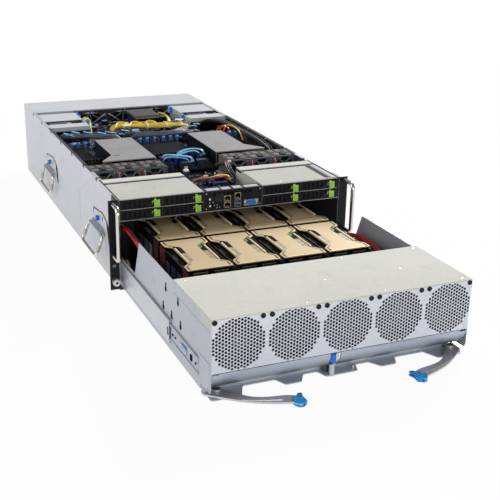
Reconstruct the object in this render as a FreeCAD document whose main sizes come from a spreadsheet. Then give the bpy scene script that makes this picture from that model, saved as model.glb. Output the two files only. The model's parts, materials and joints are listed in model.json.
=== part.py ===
import FreeCAD, Part
import Sketcher
import math
import os
import re
from types import SimpleNamespace

# Rack server, four units high, with its graphics tray pulled out at the front.
# Frame: millimetres, +X right seen from the front, +Y to the rear, +Z up.
# The origin is the middle of the chassis' front edge, on its underside.

SIZES = {
    # chassis box
    "chassis_width": 448.0,
    "chassis_depth": 880.0,
    "wall_height": 174.0,
    "wall": 1.2,
    "bay_height": 133.0,
    "deck_thick": 1.2,
    "cover_front": 757.0,
    "cover_thick": 1.0,
    "cover_lip": 9.0,
    "notch_first": 148.0,
    "notch_pitch": 102.0,
    "notch_width": 8.0,
    "notch_depth": 6.0,
    "lever_slot_length": 44.0,
    "lever_slot_low": 3.0,
    "lever_slot_high": 17.0,
    # rear bulkhead with its fan guards
    "bulkhead_front": 746.0,
    "bulkhead_thick": 2.0,
    "guard_radius": 38.0,
    "guard_bar": 3.0,
    "guard_pitch": 84.0,
    "rear_hub_radius": 16.0,
    # drive cages and carriers
    "cage_inner": 59.5,
    "cage_outer": 219.5,
    "cage_sheet": 1.0,
    "cage_depth": 100.0,
    "cage_top": 171.5,
    "cover_sheet": 1.5,
    "flange_front": 106.0,
    "flange_depth": 26.0,
    "carrier_gap": 0.4,
    "bezel_front": 1.5,
    "bezel_thick": 4.0,
    "drive_width": 69.8,
    "drive_length": 96.0,
    "drive_height": 14.6,
    "latch_width": 12.0,
    "latch_height": 13.0,
    "latch_thick": 3.2,
    "latch_gap": 0.3,
    "latch_post": 3.0,
    # rack ears, thumb screws and grab handles
    "ear_outer": 241.3,
    "ear_thick": 2.0,
    "ear_low": 3.0,
    "ear_flange": 34.0,
    "screw_x": 232.56,
    "screw_z": 20.8,
    "screw_hole": 3.2,
    "screw_shank": 2.5,
    "screw_reach": 10.0,
    "screw_neck": 2.0,
    "neck_end": 0.4,
    "screw_head": 6.6,
    "screw_head_length": 12.0,
    "ear_hole_z": 49.3,
    "ear_hole": 3.4,
    "grab_low": 70.0,
    "grab_high": 168.0,
    "grab_reach": 36.0,
    "grab_radius": 4.0,
    "grab_bend": 10.0,
    "grab_inset": 7.5,
    # front panel in the middle
    "panel_half": 58.0,
    "panel_thick": 2.0,
    "button_x": 47.7,
    "button_low_z": 143.5,
    "button_high_z": 156.5,
    "button_radius": 3.2,
    "button_gap": 0.3,
    "button_stand": 1.2,
    "button_length": 4.0,
    # boards, sockets and ducts of the upper level
    "board_z": 140.0,
    "board_thick": 1.6,
    "board_half": 212.0,
    "board_front": 258.0,
    "board_rear": 742.0,
    "standoff_radius": 3.0,
    "slot_length": 142.0,
    "slot_width": 6.2,
    "slot_height": 9.0,
    "slot_front": 322.0,
    "clip_length": 8.0,
    "clip_height": 19.0,
    "side_bank": 170.0,
    "side_slot_pitch": 7.75,
    "middle_slot_pitch": 8.5,
    "shroud_inner": 67.0,
    "shroud_outer": 150.0,
    "shroud_flare": 180.0,
    "shroud_front": 262.0,
    "shroud_flare_end": 308.0,
    "shroud_rear": 446.0,
    "shroud_top": 173.0,
    "shroud_skin": 1.5,
    "cooler_inset": 4.0,
    # fan row behind the drive cages
    "mid_fan_front": 194.0,
    "mid_fan_depth": 52.0,
    "mid_fan_width": 50.0,
    "mid_fan_pitch": 52.5,
    "mid_fan_top": 172.0,
    "mid_fan_bore": 17.5,
    "mid_plate": 1.2,
    # card cages beside the rear bulkhead
    "card_inner": 125.0,
    "card_outer": 221.0,
    "card_front": 588.0,
    "card_gap_front": 624.0,
    "card_gap_rear": 660.0,
    "card_rear": 740.0,
    "card_sheet": 1.2,
    # power supplies
    "supply_width": 73.5,
    "supply_height": 40.0,
    "supply_length": 265.0,
    "supply_inset": 7.0,
    "supply_gap": 0.3,
    "supply_pitch": 40.6,
    # slide rails
    "rail_middle_z": 37.0,
    "outer_rail_height": 42.0,
    "outer_rail_length": 440.0,
    "rail_sheet": 1.0,
    "rail_gap": 0.3,
    "member_sheet": 1.2,
    "member_length": 420.0,
    "member_out": 276.0,
    "inner_rail_sheet": 1.2,
    "inner_rail_length": 461.0,
    "inner_rail_setback": 51.0,
    "rail_clear": 0.5,
    "member_bead": 5.0,
    "inner_rail_height": 28.0,
    "inner_rail_rise": 1.3,
    # graphics tray
    "tray_out": 452.0,
    "tray_wall_x": 217.5,
    "tray_low": 3.0,
    "tray_sheet": 1.5,
    "tray_length": 562.0,
    "tray_top_gap": 1.5,
    "tray_side_drop": 3.5,
    "tray_slope_top": 344.0,
    "tray_slope_low": 373.0,
    "tray_low_side": 62.0,
    "fan_box_depth": 164.0,
    "face_low": 47.0,
    "face_thick": 1.2,
    "lip_setback": 34.0,
    "lip_front": 1.0,
    "valance_low": 14.0,
    "valance_half": 205.0,
    "notch_top": 36.0,
    "lip_round": 5.0,
    "flap_thick": 1.0,
    # fans of the tray
    "fan_pitch": 88.0,
    "fan_z": 89.5,
    "fan_frame": 80.0,
    "fan_frame_wide": 80.0,
    "fan_frame_depth": 38.0,
    "fan_bore": 38.6,
    "fan_gap": 0.3,
    "fan_hub": 17.0,
    "fan_hub_depth": 24.0,
    "blade_tip": 37.8,
    "blade_chord": 26.0,
    "blade_thick": 1.6,
    "blade_count": 7,
    "shaft_radius": 2.0,
    "shaft_fit": 0.05,
    "grille_hole": 10.4,
    "grille_pitch": 12.2,
    "grille_rings": 3,
    # graphics modules
    "gpu_pitch": 86.0,
    "gpu_shift": -3.0,
    "gpu_width": 80.0,
    "gpu_length": 144.0,
    "gpu_front": 224.0,
    "gpu_row_pitch": 155.0,
    "gpu_board_z": 14.0,
    "gpu_board_thick": 2.4,
    "gpu_base_z": 24.0,
    "gpu_base_thick": 6.0,
    "gpu_cover_z": 111.0,
    "gpu_cover_thick": 7.0,
    "gpu_fin": 1.4,
    "gpu_fin_count": 11,
    "waist_front": 47.0,
    "waist_rear": 40.0,
    "waist_slant": 9.0,
    "cover_notch": 9.5,
    # pull levers
    "pivot_x": 202.0,
    "pivot_setback": 19.0,
    "pivot_radius": 4.0,
    "pivot_fit": 0.05,
    "lever_z": 7.0,
    "lever_thick": 3.0,
    "lever_gap": 0.3,
    "grip_thick": 7.4,
    # lock pin on the tray's lip
    "lock_x": -17.0,
    "lock_setback": 12.0,
    "lock_radius": 2.5,
    "lock_fit": 0.1,
    "lock_high": 42.0,
    "lock_knob": 6.0,
    "lock_room": 9.0,
    # lifting handles on the side walls
    "bail_front_y": 139.0,
    "bail_rear_y": 577.0,
    "bail_z": 77.0,
    "bail_width": 104.0,
    "bail_drop": 42.0,
    "bail_wire": 3.0,
    "bail_fit": 0.08,
    "bail_bend": 9.0,
    "sleeve_wall": 1.4,
    "sleeve_sink": 0.4,
    "bracket_thick": 1.5,
    "bail_tilt_front": 22.0,
    "bail_tilt_rear": 12.0,
    "release_rise": 20.0,
    "release_radius": 4.5,
    "release_depth": 6.0,
}

doc = FreeCAD.newDocument("RackServer")
sheet = doc.addObject("Spreadsheet::Sheet", "Sizes")
for row, (alias, number) in enumerate(SIZES.items(), 1):
    sheet.set("A%d" % row, alias)
    sheet.set("B%d" % row, str(number))
    sheet.setAlias("B%d" % row, alias)
doc.recompute()
size = SimpleNamespace(**{alias: float(sheet.get(alias)) for alias in SIZES})

SIDES = {"left": -1, "right": 1}
NODES = []


def bound(formula):
    """Point each size name in a formula at its cell."""
    def to_cell(word):
        return "Sizes." + word.group() if word.group() in SIZES else word.group()
    return re.sub(r"[a-z_]+", to_cell, str(formula))


def place(item, x, y, z):
    item.setExpression("Placement.Base.x", bound(x))
    item.setExpression("Placement.Base.y", bound(y))
    item.setExpression("Placement.Base.z", bound(z))
    return item


def box(name, x, y, z, length, width, height):
    item = doc.addObject("Part::Box", name)
    item.setExpression("Length", bound(length))
    item.setExpression("Width", bound(width))
    item.setExpression("Height", bound(height))
    return place(item, x, y, z)


def side_box(name, side, inner, outer, y, z, width, height):
    """Box between two distances from the middle plane, left (-1) or right (1)."""
    x = inner if side > 0 else "-(%s)" % outer
    return box(name, x, y, z, "(%s)-(%s)" % (outer, inner), width, height)


TURNS = {
    "x": FreeCAD.Rotation(FreeCAD.Vector(0, 1, 0), 90),
    "y": FreeCAD.Rotation(FreeCAD.Vector(1, 0, 0), -90),
    "z": FreeCAD.Rotation(),
}


def cylinder(name, axis, x, y, z, radius, height):
    item = doc.addObject("Part::Cylinder", name)
    item.setExpression("Radius", bound(radius))
    item.setExpression("Height", bound(height))
    item.Placement = FreeCAD.Placement(FreeCAD.Vector(), TURNS[axis])
    return place(item, x, y, z)


def fuse(name, items):
    item = doc.addObject("Part::MultiFuse", name)
    item.Shapes = items
    return item


def cut(name, base, tools):
    item = doc.addObject("Part::Cut", name)
    item.Base = base
    item.Tool = tools[0] if len(tools) == 1 else fuse(name + "_tools", tools)
    return item


def shaped(name, shape):
    """Shape worked out with the sizes read from the sheet."""
    item = doc.addObject("Part::Feature", name)
    item.Shape = shape
    return item


def node(label, item):
    item.Label = label
    NODES.append(item)
    return item


def group(label, items):
    """Node of several separate solids."""
    holder = doc.addObject("Part::Compound", label + "_set")
    holder.Links = items
    return node(label, holder)


def origin_plane(body, role):
    for feature in body.Origin.OriginFeatures:
        if feature.Role == role:
            return feature
    return None


def outline_body(name, plane, points, depth, offset="0"):
    """Body padded from a closed outline whose corners are formulas (across, up)."""
    body = doc.addObject("PartDesign::Body", name)
    sketch = body.newObject("Sketcher::SketchObject", name + "_outline")
    sketch.AttachmentSupport = [(origin_plane(body, plane), "")]
    sketch.MapMode = "FlatFace"
    sketch.setExpression("AttachmentOffset.Base.z", bound(offset))
    add_outline(sketch, points)
    pad = body.newObject("PartDesign::Pad", name + "_pad")
    pad.Profile = sketch
    pad.setExpression("Length", bound(depth))
    body.Tip = pad
    return body


def add_outline(sketch, points):
    """Closed chain of lines, each corner held by two dimensions from the origin."""
    first = sketch.GeometryCount
    count = len(points)
    # a rough circle gives the solver a start; the dimensions set the real corners
    for index in range(count):
        start, end = [circle_point(step, count) for step in (index, index + 1)]
        sketch.addGeometry(Part.LineSegment(start, end))
    for index in range(count):
        after = first + (index + 1) % count
        sketch.addConstraint(Sketcher.Constraint("Coincident", first + index, 2, after, 1))
    for index, (across, up) in enumerate(points):
        for kind, formula in (("DistanceX", across), ("DistanceY", up)):
            number = sketch.addConstraint(Sketcher.Constraint(kind, -1, 1, first + index, 1, 1.0))
            sketch.setExpression("Constraints[%d]" % number, bound(formula))


def circle_point(step, count):
    angle = 2 * math.pi * step / count
    return FreeCAD.Vector(50 * math.cos(angle), 50 * math.sin(angle), 0)


def smooth(points):
    """Smooth edge through a few points."""
    curve = Part.BSplineCurve()
    curve.interpolate(Points=[FreeCAD.Vector(*point) for point in points])
    return curve.toShape()


def rod(start, end, radius):
    return Part.makeCylinder(radius, (end - start).Length, start, end - start)


def tube(points, radius, bend=None):
    """Round bar along straight runs joined by tangent arcs, as large as the runs allow."""
    corners = [FreeCAD.Vector(*point) for point in points]
    pieces = []
    start = corners[0]
    for before, corner, after in zip(corners, corners[1:], corners[2:]):
        along = (corner - before).normalize()
        beyond = (after - corner).normalize()
        turn = along.getAngle(beyond)
        reach = 0.45 * min((corner - before).Length, (after - corner).Length)
        if bend:
            reach = bend * math.tan(turn / 2)
        enter = corner - along * reach
        axis = along.cross(beyond).normalize()
        centre = enter + axis.cross(along) * (reach / math.tan(turn / 2))
        section = Part.Face(Part.Wire(Part.makeCircle(radius, enter, along)))
        pieces += [rod(start, enter, radius), section.revolve(centre, axis, math.degrees(turn))]
        start = corner + beyond * reach
    pieces.append(rod(start, corners[-1], radius))
    return pieces[0].multiFuse(pieces[1:])


# Chassis: floor, side walls with notched top edges, rear wall and rear fan guard

HALF = "(chassis_width/2)"
INSIDE = "(chassis_width/2-wall)"
RIM_FRONT = "(flange_front+flange_depth+4)"
NOTCHES = 7
GUARD_FANS = (-1, 0, 1)
DECK_TOP = "(bay_height+deck_thick)"
SUPPLY_OUTER = INSIDE + "-supply_inset"
SUPPLY_INNER = INSIDE + "-supply_inset-supply_width"
SUPPLY_LOW = "wall+supply_gap+%d*supply_pitch"


def chassis_shell():
    plates = [
        box("floor", "-" + HALF, 0, 0, "chassis_width", "chassis_depth", "wall"),
        box("rear_wall", "-" + HALF, "chassis_depth-wall", 0, "chassis_width", "wall", "wall_height"),
    ]
    tools = []
    for word, side in SIDES.items():
        plates.append(side_box(word + "_wall", side, INSIDE, HALF, 0, 0, "chassis_depth", "wall_height"))
        plates.append(side_box(word + "_rim", side, INSIDE + "-6", INSIDE, RIM_FRONT, "wall_height-wall",
                               "cover_front-" + RIM_FRONT, "wall"))
        for index in range(NOTCHES):
            tools.append(side_box("%s_notch_%d" % (word, index), side, HALF + "-10", HALF + "+1",
                                  "notch_first+%d*notch_pitch-notch_width/2" % index,
                                  "wall_height-notch_depth", "notch_width", "notch_depth+1"))
        tools.append(side_box(word + "_lever_slot", side, INSIDE + "-1", HALF + "+1", -1, "lever_slot_low",
                              "lever_slot_length+1", "lever_slot_high-lever_slot_low"))
        tools += rear_openings(word, side)
    for index in GUARD_FANS:
        for row in range(4):
            tools.append(box("vent_%d_%d" % (index + 1, row), "%d*guard_pitch-guard_radius" % index,
                             "chassis_depth-wall-1", "24+%d*34" % row, "2*guard_radius", "wall+2", 26))
    return node("chassis_shell", cut("shell", fuse("shell_plates", plates), tools))


def rear_openings(word, side):
    """Openings of the rear wall for the power supplies and the card slots."""
    tools = []
    for level in range(2):
        tools.append(side_box("%s_supply_opening_%d" % (word, level), side, SUPPLY_INNER, SUPPLY_OUTER,
                              "chassis_depth-wall-1", SUPPLY_LOW % level + "-supply_gap", "wall+2",
                              "supply_height+2*supply_gap"))
    for index in range(3):
        tools.append(side_box("%s_card_opening_%d" % (word, index), side, "card_inner+%d" % (10 + 28 * index),
                              "card_inner+%d" % (24 + 28 * index), "chassis_depth-wall-1", "bay_height+8",
                              "wall+2", 28))
    return tools


def guard_tool(centres, front, depth, radius, hub, angles):
    """Round openings that keep crossed bars and a hub ring."""
    along = FreeCAD.Vector(0, 1, 0)
    openings = []
    for x, z in centres:
        centre = FreeCAD.Vector(x, front - 1, z)
        ring = Part.makeCylinder(radius, depth + 2, centre, along)
        middle = Part.makeCylinder(hub, depth + 2, centre, along)
        keep = [middle.cut(Part.makeCylinder(hub - size.guard_bar, depth + 2, centre, along))]
        for angle in angles:
            corner = centre - FreeCAD.Vector(radius, 0, size.guard_bar / 2)
            bar = Part.makeBox(2 * radius, depth + 2, size.guard_bar, corner)
            bar.rotate(centre, along, angle)
            keep.append(bar.cut(middle))
        openings.append(ring.cut(keep[0].multiFuse(keep[1:])))
    return Part.makeCompound(openings)


def mid_deck():
    """Floor of the upper level, with the rear bulkhead and its fan guards."""
    deck = box("deck_plate", "-" + INSIDE, 0, "bay_height", "2*" + INSIDE, "bulkhead_front", "deck_thick")
    plate = box("guard_plate", "-1.5*guard_pitch", "bulkhead_front", "bay_height", "3*guard_pitch",
                "bulkhead_thick", "wall_height-bay_height")
    centre_z = size.wall_height - 3 - size.guard_radius
    centres = [(index * size.guard_pitch, centre_z) for index in GUARD_FANS]
    tool = guard_tool(centres, size.bulkhead_front, size.bulkhead_thick, size.guard_radius,
                      size.rear_hub_radius, (0, 45, 90, 135))
    guard = cut("guard", plate, [shaped("guard_openings", tool)])
    return node("mid_deck", fuse("deck", [deck, guard]))


def rear_cover():
    """Lid over the rear bay: top sheet, front lip and two side hems outside the walls."""
    top = box("lid_sheet", "-" + HALF, "cover_front", "wall_height", "chassis_width",
              "chassis_depth-cover_front", "cover_thick")
    lip = box("lid_lip", "-" + INSIDE + "+1", "cover_front", "wall_height-cover_lip", "2*" + INSIDE + "-2",
              "cover_thick", "cover_lip")
    return node("rear_cover", fuse("lid", [top, lip]))


# Drive cages, carriers and their latches

BAY = "((cage_outer-cage_inner-3*cage_sheet)/2)"
LEVEL = "((cage_top-bay_height-deck_thick-cage_sheet)/2)"


def bay_left(side, bay):
    """Left inner face of a drive bay, counted from the left on each side."""
    start = "cage_inner" if side > 0 else "-cage_outer"
    return "(%s+cage_sheet+%d*(%s+cage_sheet))" % (start, bay, BAY)


def level_low(level):
    return "(%s+%d*(%s+cage_sheet))" % (DECK_TOP, level, LEVEL)


def drive_cages():
    solids = []
    rear = "(flange_front+flange_depth)"
    height = "cage_top-" + DECK_TOP
    for word, side in SIDES.items():
        cover = box(word + "_cage_cover", "cage_inner" if side > 0 else "-cage_outer", "cage_sheet", "cage_top",
                    "cage_outer-cage_inner", "cage_depth", "cover_sheet")
        solids.append(cover)
        for index, (x, depth) in enumerate(((bay_left(side, 0) + "-cage_sheet", rear),
                                            (bay_left(side, 1) + "-cage_sheet", "cage_depth"),
                                            (bay_left(side, 2) + "-cage_sheet", rear))):
            solids.append(box("%s_cage_plate_%d" % (word, index), x, 0, DECK_TOP, "cage_sheet", depth, height))
        for bay in range(2):
            solids.append(box("%s_cage_shelf_%d" % (word, bay), bay_left(side, bay), 0,
                              level_low(1) + "-cage_sheet", BAY, "cage_depth", "cage_sheet"))
        x = bay_left(side, 0)
        wide = "2*%s+cage_sheet" % BAY
        solids.append(box(word + "_backplane", x, "cage_depth+0.6", DECK_TOP, wide, 2, height + "-1.5"))
        flange = box(word + "_flange", "cage_inner" if side > 0 else "-cage_outer", "flange_front", "cage_top-4",
                     "cage_outer-cage_inner", "flange_depth", "4+cover_sheet+1")
        hollow = box(word + "_flange_hollow", x, "flange_front+cover_sheet", "cage_top-5", wide,
                     "flange_depth-2*cover_sheet", "5+1")
        solids.append(cut(word + "_flange_sheet", flange, [hollow]))
    return group("drive_cages", solids)


def drive_carriers():
    number = 0
    for word, side in SIDES.items():
        for bay in range(2):
            for level in range(2):
                number += 1
                drive_carrier(number, bay_left(side, bay), level_low(level))


def drive_carrier(number, bay, low):
    """Black carrier with its drive, and the latch at the right end of its front."""
    tag = "carrier_%d" % number
    left = "(%s+carrier_gap)" % bay
    right = "(%s+%s-carrier_gap)" % (bay, BAY)
    bottom = "(%s+carrier_gap)" % low
    height = "(%s-2*carrier_gap)" % LEVEL
    rail = "((%s-drive_width)/2-carrier_gap)" % BAY
    behind = "(bezel_thick-bezel_front)"
    bezel = box(tag + "_bezel", left, "-bezel_front", bottom, "%s-2*carrier_gap" % BAY, "bezel_thick", height)
    rails = [
        box(tag + "_left_rail", left, behind, bottom, rail, "drive_length", "drive_height"),
        box(tag + "_right_rail", "%s-%s" % (right, rail), behind, bottom, rail, "drive_length", "drive_height"),
    ]
    latch_right = "(%s-latch_post-latch_gap)" % right
    latch_left = "(%s-latch_width)" % latch_right
    tools = [box(tag + "_latch_pocket", latch_left + "-latch_gap", "-bezel_front-1", bottom + "-1",
                 "latch_width+2*latch_gap", "latch_thick+latch_gap+1", height + "+2")]
    for slot in range(6):
        tools.append(box("%s_vent_%d" % (tag, slot), left + "+4+%d*9.2" % slot, "-bezel_front-1",
                         bottom + "+3.4", 6, "bezel_thick-0.8+1", height + "-6.8"))
    frame = cut(tag + "_frame", fuse(tag + "_body", [bezel] + rails), tools)
    drive = box(tag + "_drive", left + "+" + rail, behind, bottom, "drive_width", "drive_length", "drive_height")
    group("drive_" + tag, [frame, drive])
    hinge = "(latch_thick/2)"
    foot = "(%s+latch_gap)" % bottom
    blade = box(tag + "_latch_blade", latch_left, "-bezel_front", foot, "latch_width-" + hinge, "latch_thick",
                "latch_height")
    barrel = cylinder(tag + "_latch_barrel", "z", latch_right + "-" + hinge, "-bezel_front+" + hinge, foot,
                      hinge, "latch_height")
    tab = box(tag + "_latch_tab", latch_left, "-bezel_front", foot, 4.2, "latch_thick", "latch_height+2.8")
    finger = box(tag + "_latch_ridge", latch_left + "+1.2", "-bezel_front-1.2", foot + "+2", 2, 1.5,
                 "latch_height-4")
    node("drive_latch_%d" % number, fuse(tag + "_latch", [blade, barrel, tab, finger]))


# Rack ears, grab handles, thumb screws and the front panel

def rack_ears():
    plates = []
    tools = []
    for word, side in SIDES.items():
        plates.append(side_box(word + "_ear", side, HALF, "ear_outer", "-ear_thick", "ear_low", "ear_thick",
                               "wall_height-ear_low"))
        plates.append(side_box(word + "_ear_flange", side, HALF, HALF + "+ear_thick", "-ear_thick/2",
                               "lever_slot_high+1", "ear_flange", "wall_height-lever_slot_high-1"))
        for name, z, radius in (("screw", "screw_z", "screw_hole"), ("rack", "ear_hole_z", "ear_hole")):
            x = "screw_x" if side > 0 else "-screw_x"
            tools.append(cylinder("%s_%s_hole" % (word, name), "y", x, "-ear_thick-1", z, radius,
                                  "ear_thick+2"))
    return node("rack_ears", cut("ears", fuse("ear_plates", plates), tools))


def grab_handles():
    handles = []
    for word, side in SIDES.items():
        x = side * (size.ear_outer - size.grab_inset)
        seat = -size.ear_thick
        reach = -size.ear_thick - size.grab_reach
        points = [(x, seat, size.grab_low), (x, reach, size.grab_low),
                  (x, reach, size.grab_high), (x, seat, size.grab_high)]
        handles.append(shaped(word + "_grab", tube(points, size.grab_radius, size.grab_bend)))
    return group("grab_handles", handles)


def thumb_screws():
    for word, side in SIDES.items():
        x = "screw_x" if side > 0 else "-screw_x"
        head_end = "(-ear_thick-carrier_gap)"
        head = cylinder(word + "_screw_head", "y", x, head_end + "-screw_head_length", "screw_z", "screw_head",
                        "screw_head_length")
        neck = cylinder(word + "_screw_neck", "y", x, head_end + "-1", "screw_z", "screw_neck",
                        "ear_thick+carrier_gap+neck_end+2")
        shank = cylinder(word + "_screw_shank", "y", x, "neck_end", "screw_z", "screw_shank",
                         "screw_reach-neck_end")
        socket = cylinder(word + "_screw_socket", "y", x, head_end + "-screw_head_length-1", "screw_z", 2.6, 5)
        body = cut(word + "_screw_body", fuse(word + "_screw_solid", [head, neck, shank]), [socket])
        node("%s_thumb_screw" % word, body)


PORTS = (
    ("left_lan", -19.0, 137.0, 13.5, 11.0, 18.0),
    ("upper_lan", -19.0, 149.5, 13.5, 11.0, 18.0),
    ("right_lan", 2.4, 152.0, 12.5, 12.5, 18.0),
    ("low_usb", 2.4, 136.5, 13.0, 6.0, 14.0),
    ("high_usb", 2.4, 144.0, 13.0, 6.0, 14.0),
    ("video", 21.0, 136.5, 30.0, 12.5, 9.0),
)


def front_panel():
    """Front panel of the middle bay, with its sockets behind and two push buttons."""
    plate = box("panel_plate", "-panel_half", 0, DECK_TOP, "2*panel_half", "panel_thick",
                "cage_top-%s" % DECK_TOP)
    ledge = box("panel_ledge", "-panel_half", 0, "cage_top-panel_thick", "2*panel_half", 24, "panel_thick")
    solids = []
    tools = []
    for name, x, z, wide, tall, deep in PORTS:
        tools.append(box(name + "_window", x, -1, z, wide, "panel_thick+2", tall))
        shell = box(name + "_shell", x, -0.6, z, wide, deep, tall)
        mouth = box(name + "_mouth", x + 0.8, -1.6, z + 0.8, wide - 1.6, deep - 2, tall - 1.6)
        solids.append(cut(name + "_socket", shell, [mouth]))
    for index, z in enumerate(("button_low_z", "button_high_z")):
        tools.append(cylinder("button_hole_%d" % index, "y", "-button_x", -1, z, "button_radius+button_gap",
                              "panel_thick+2"))
        cap = cylinder("button_cap_%d" % index, "y", "-button_x", "-button_stand", z, "button_radius",
                       "button_length")
        rim = cylinder("button_rim_%d" % index, "y", "-button_x", "panel_thick+button_gap", z,
                       "button_radius+1.6", 1.5)
        node(("power_button", "id_button")[1 - index], fuse("button_%d" % index, [cap, rim]))
    for column in range(9):
        tools.append(box("panel_vent_%d" % column, "-40+%d*8.8" % column, -1, "cage_top-9.5", 6,
                         "panel_thick+2", 5))
    front = cut("panel_front", fuse("panel_sheet", [plate, ledge]), tools)
    switches = box("button_board", "-button_x-8", "panel_thick+5.5", DECK_TOP, 16, 1.6, 30)
    return group("front_panel", [front, switches] + solids)


# Boards, memory sockets, air ducts and fans of the upper level

BOARD_TOP = "(board_z+board_thick)"


def mainboard():
    solids = [box("main_board", "-board_half", "board_front", "board_z", "2*board_half",
                  "board_rear-board_front", "board_thick"),
              box("front_board", "-52", "cage_depth+8", "board_z", 104, 78, "board_thick")]
    for row in range(4):
        for column in range(4):
            solids.append(cylinder("standoff_%d_%d" % (row, column), "z",
                                   "-board_half+12+%d*(2*board_half-24)/3" % column,
                                   "board_front+14+%d*(board_rear-board_front-28)/3" % row, DECK_TOP,
                                   "standoff_radius", "board_z-" + DECK_TOP))
    for index, x in enumerate((-44, 44)):
        solids.append(cylinder("front_standoff_%d" % index, "z", x, "cage_depth+44", DECK_TOP,
                               "standoff_radius", "board_z-" + DECK_TOP))
    for word, side in SIDES.items():
        solids.append(side_box(word + "_cpu_base", side, "shroud_inner+cooler_inset",
                               "shroud_outer-cooler_inset", "shroud_flare_end+14", BOARD_TOP, 104, 6))
        for fin in range(8):
            step = "((shroud_outer-shroud_inner-2*cooler_inset-1)/7)"
            start = "shroud_inner+cooler_inset+%d*%s" % (fin, step)
            solids.append(side_box("%s_cpu_fin_%d" % (word, fin), side, start, start + "+1",
                                   "shroud_flare_end+14", BOARD_TOP + "+6", 104, "shroud_top-board_z-14"))
    solids.append(box("chipset_base", "8", "board_rear-84", BOARD_TOP, 60, 76, 10))
    for fin in range(9):
        solids.append(box("chipset_fin_%d" % fin, "8+%d*7.3" % fin, "board_rear-84", BOARD_TOP + "+10", 1.6, 76,
                          15))
    for index, (x, y, wide, deep, tall) in enumerate(CHIPS):
        base = "cage_depth+8" if y < 90 else "board_front"
        start = y if y < 90 else y - 90
        solids.append(box("chip_%d" % index, x, "%s+%s" % (base, start), BOARD_TOP, wide, deep, tall))
    solids.append(cylinder("capacitor_post", "z", -36, "cage_depth+64", BOARD_TOP, 7, 24))
    return group("mainboard", solids)


# Larger parts on the boards: x, distance behind the front edge (90 and more on the main board),
# width, depth and height
CHIPS = (
    (-48, 6, 34, 20, 9), (-8, 10, 22, 22, 12), (22, 6, 26, 12, 14), (-46, 34, 24, 16, 12),
    (-6, 42, 30, 24, 6), (30, 30, 16, 34, 18), (-56, 100, 30, 16, 14), (-12, 100, 26, 20, 12),
    (26, 98, 26, 14, 16), (-54, 312, 40, 22, 12), (-50, 352, 28, 40, 16), (-18, 366, 16, 46, 8),
    (84, 318, 30, 26, 14), (84, 360, 26, 40, 10), (-108, 320, 26, 24, 16), (-110, 362, 22, 46, 12),
)


def memory_sockets():
    solids = []
    banks = [("middle", 0, "%d*middle_slot_pitch/2" % step) for step in range(-11, 12, 2)]
    for word, side in SIDES.items():
        banks += [(word, side, "%d*(side_bank+%d*side_slot_pitch)" % (side, step)) for step in range(6)]
    for index, (word, side, centre) in enumerate(banks):
        tag = "%s_socket_%d" % (word, index)
        solids.append(box(tag, centre + "-slot_width/2", "slot_front", BOARD_TOP, "slot_width", "slot_length",
                          "slot_height"))
        for end, y in (("front", "slot_front-clip_length"), ("rear", "slot_front+slot_length")):
            solids.append(box("%s_%s_clip" % (tag, end), centre + "-slot_width/2", y, BOARD_TOP, "slot_width",
                              "clip_length", "clip_height"))
    return group("memory_sockets", solids)


def air_ducts():
    ducts = []
    for word, side in SIDES.items():
        def across(formula):
            return "%d*(%s)" % (side, formula)
        outer = [("shroud_inner", "shroud_front"), ("shroud_flare", "shroud_front"),
                 ("shroud_flare", "shroud_front+4"), ("shroud_outer", "shroud_flare_end"),
                 ("shroud_outer", "shroud_rear"), ("shroud_inner", "shroud_rear")]
        skin = "shroud_skin"
        inner = [("shroud_inner+" + skin, "shroud_front-1"), ("shroud_flare-1.3*" + skin, "shroud_front-1"),
                 ("shroud_flare-1.3*" + skin, "shroud_front+4"), ("shroud_outer-" + skin, "shroud_flare_end"),
                 ("shroud_outer-" + skin, "shroud_rear+1"), ("shroud_inner+" + skin, "shroud_rear+1")]
        low = BOARD_TOP
        block = outline_body(word + "_duct_block", "XY_Plane", [(across(x), y) for x, y in outer],
                             "shroud_top-" + low, low)
        hollow = outline_body(word + "_duct_hollow", "XY_Plane", [(across(x), y) for x, y in inner],
                              "shroud_top-%s-%s+1" % (low, skin), low + "-1")
        ducts.append(cut(word + "_duct", block, [hollow]))
    return group("air_ducts", ducts)


def fan_row():
    """Six fans behind the drive cages, in two sheet metal brackets with crossed guards."""
    solids = []
    inner = "(%s-0.5-3*mid_fan_pitch)" % INSIDE
    for word, side in SIDES.items():
        plate = side_box(word + "_fan_plate", side, inner, inner + "+3*mid_fan_pitch",
                         "mid_fan_front-mid_plate", DECK_TOP, "mid_plate", "mid_fan_top-" + DECK_TOP)
        centres = []
        low = size.bay_height + size.deck_thick
        middle_z = (low + size.mid_fan_top) / 2
        first = size.chassis_width / 2 - size.wall - 0.5 - 2.5 * size.mid_fan_pitch
        for index in range(3):
            x = side * (first + index * size.mid_fan_pitch)
            centres.append((x, middle_z))
            solids.append(mid_fan("%s_mid_fan_%d" % (word, index), x, middle_z))
        tool = guard_tool(centres, size.mid_fan_front - size.mid_plate, size.mid_plate, size.mid_fan_bore, 7,
                          (45, 135))
        solids.append(cut(word + "_fan_bracket", plate, [shaped(word + "_fan_holes", tool)]))
    return group("fan_row", solids)


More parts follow.
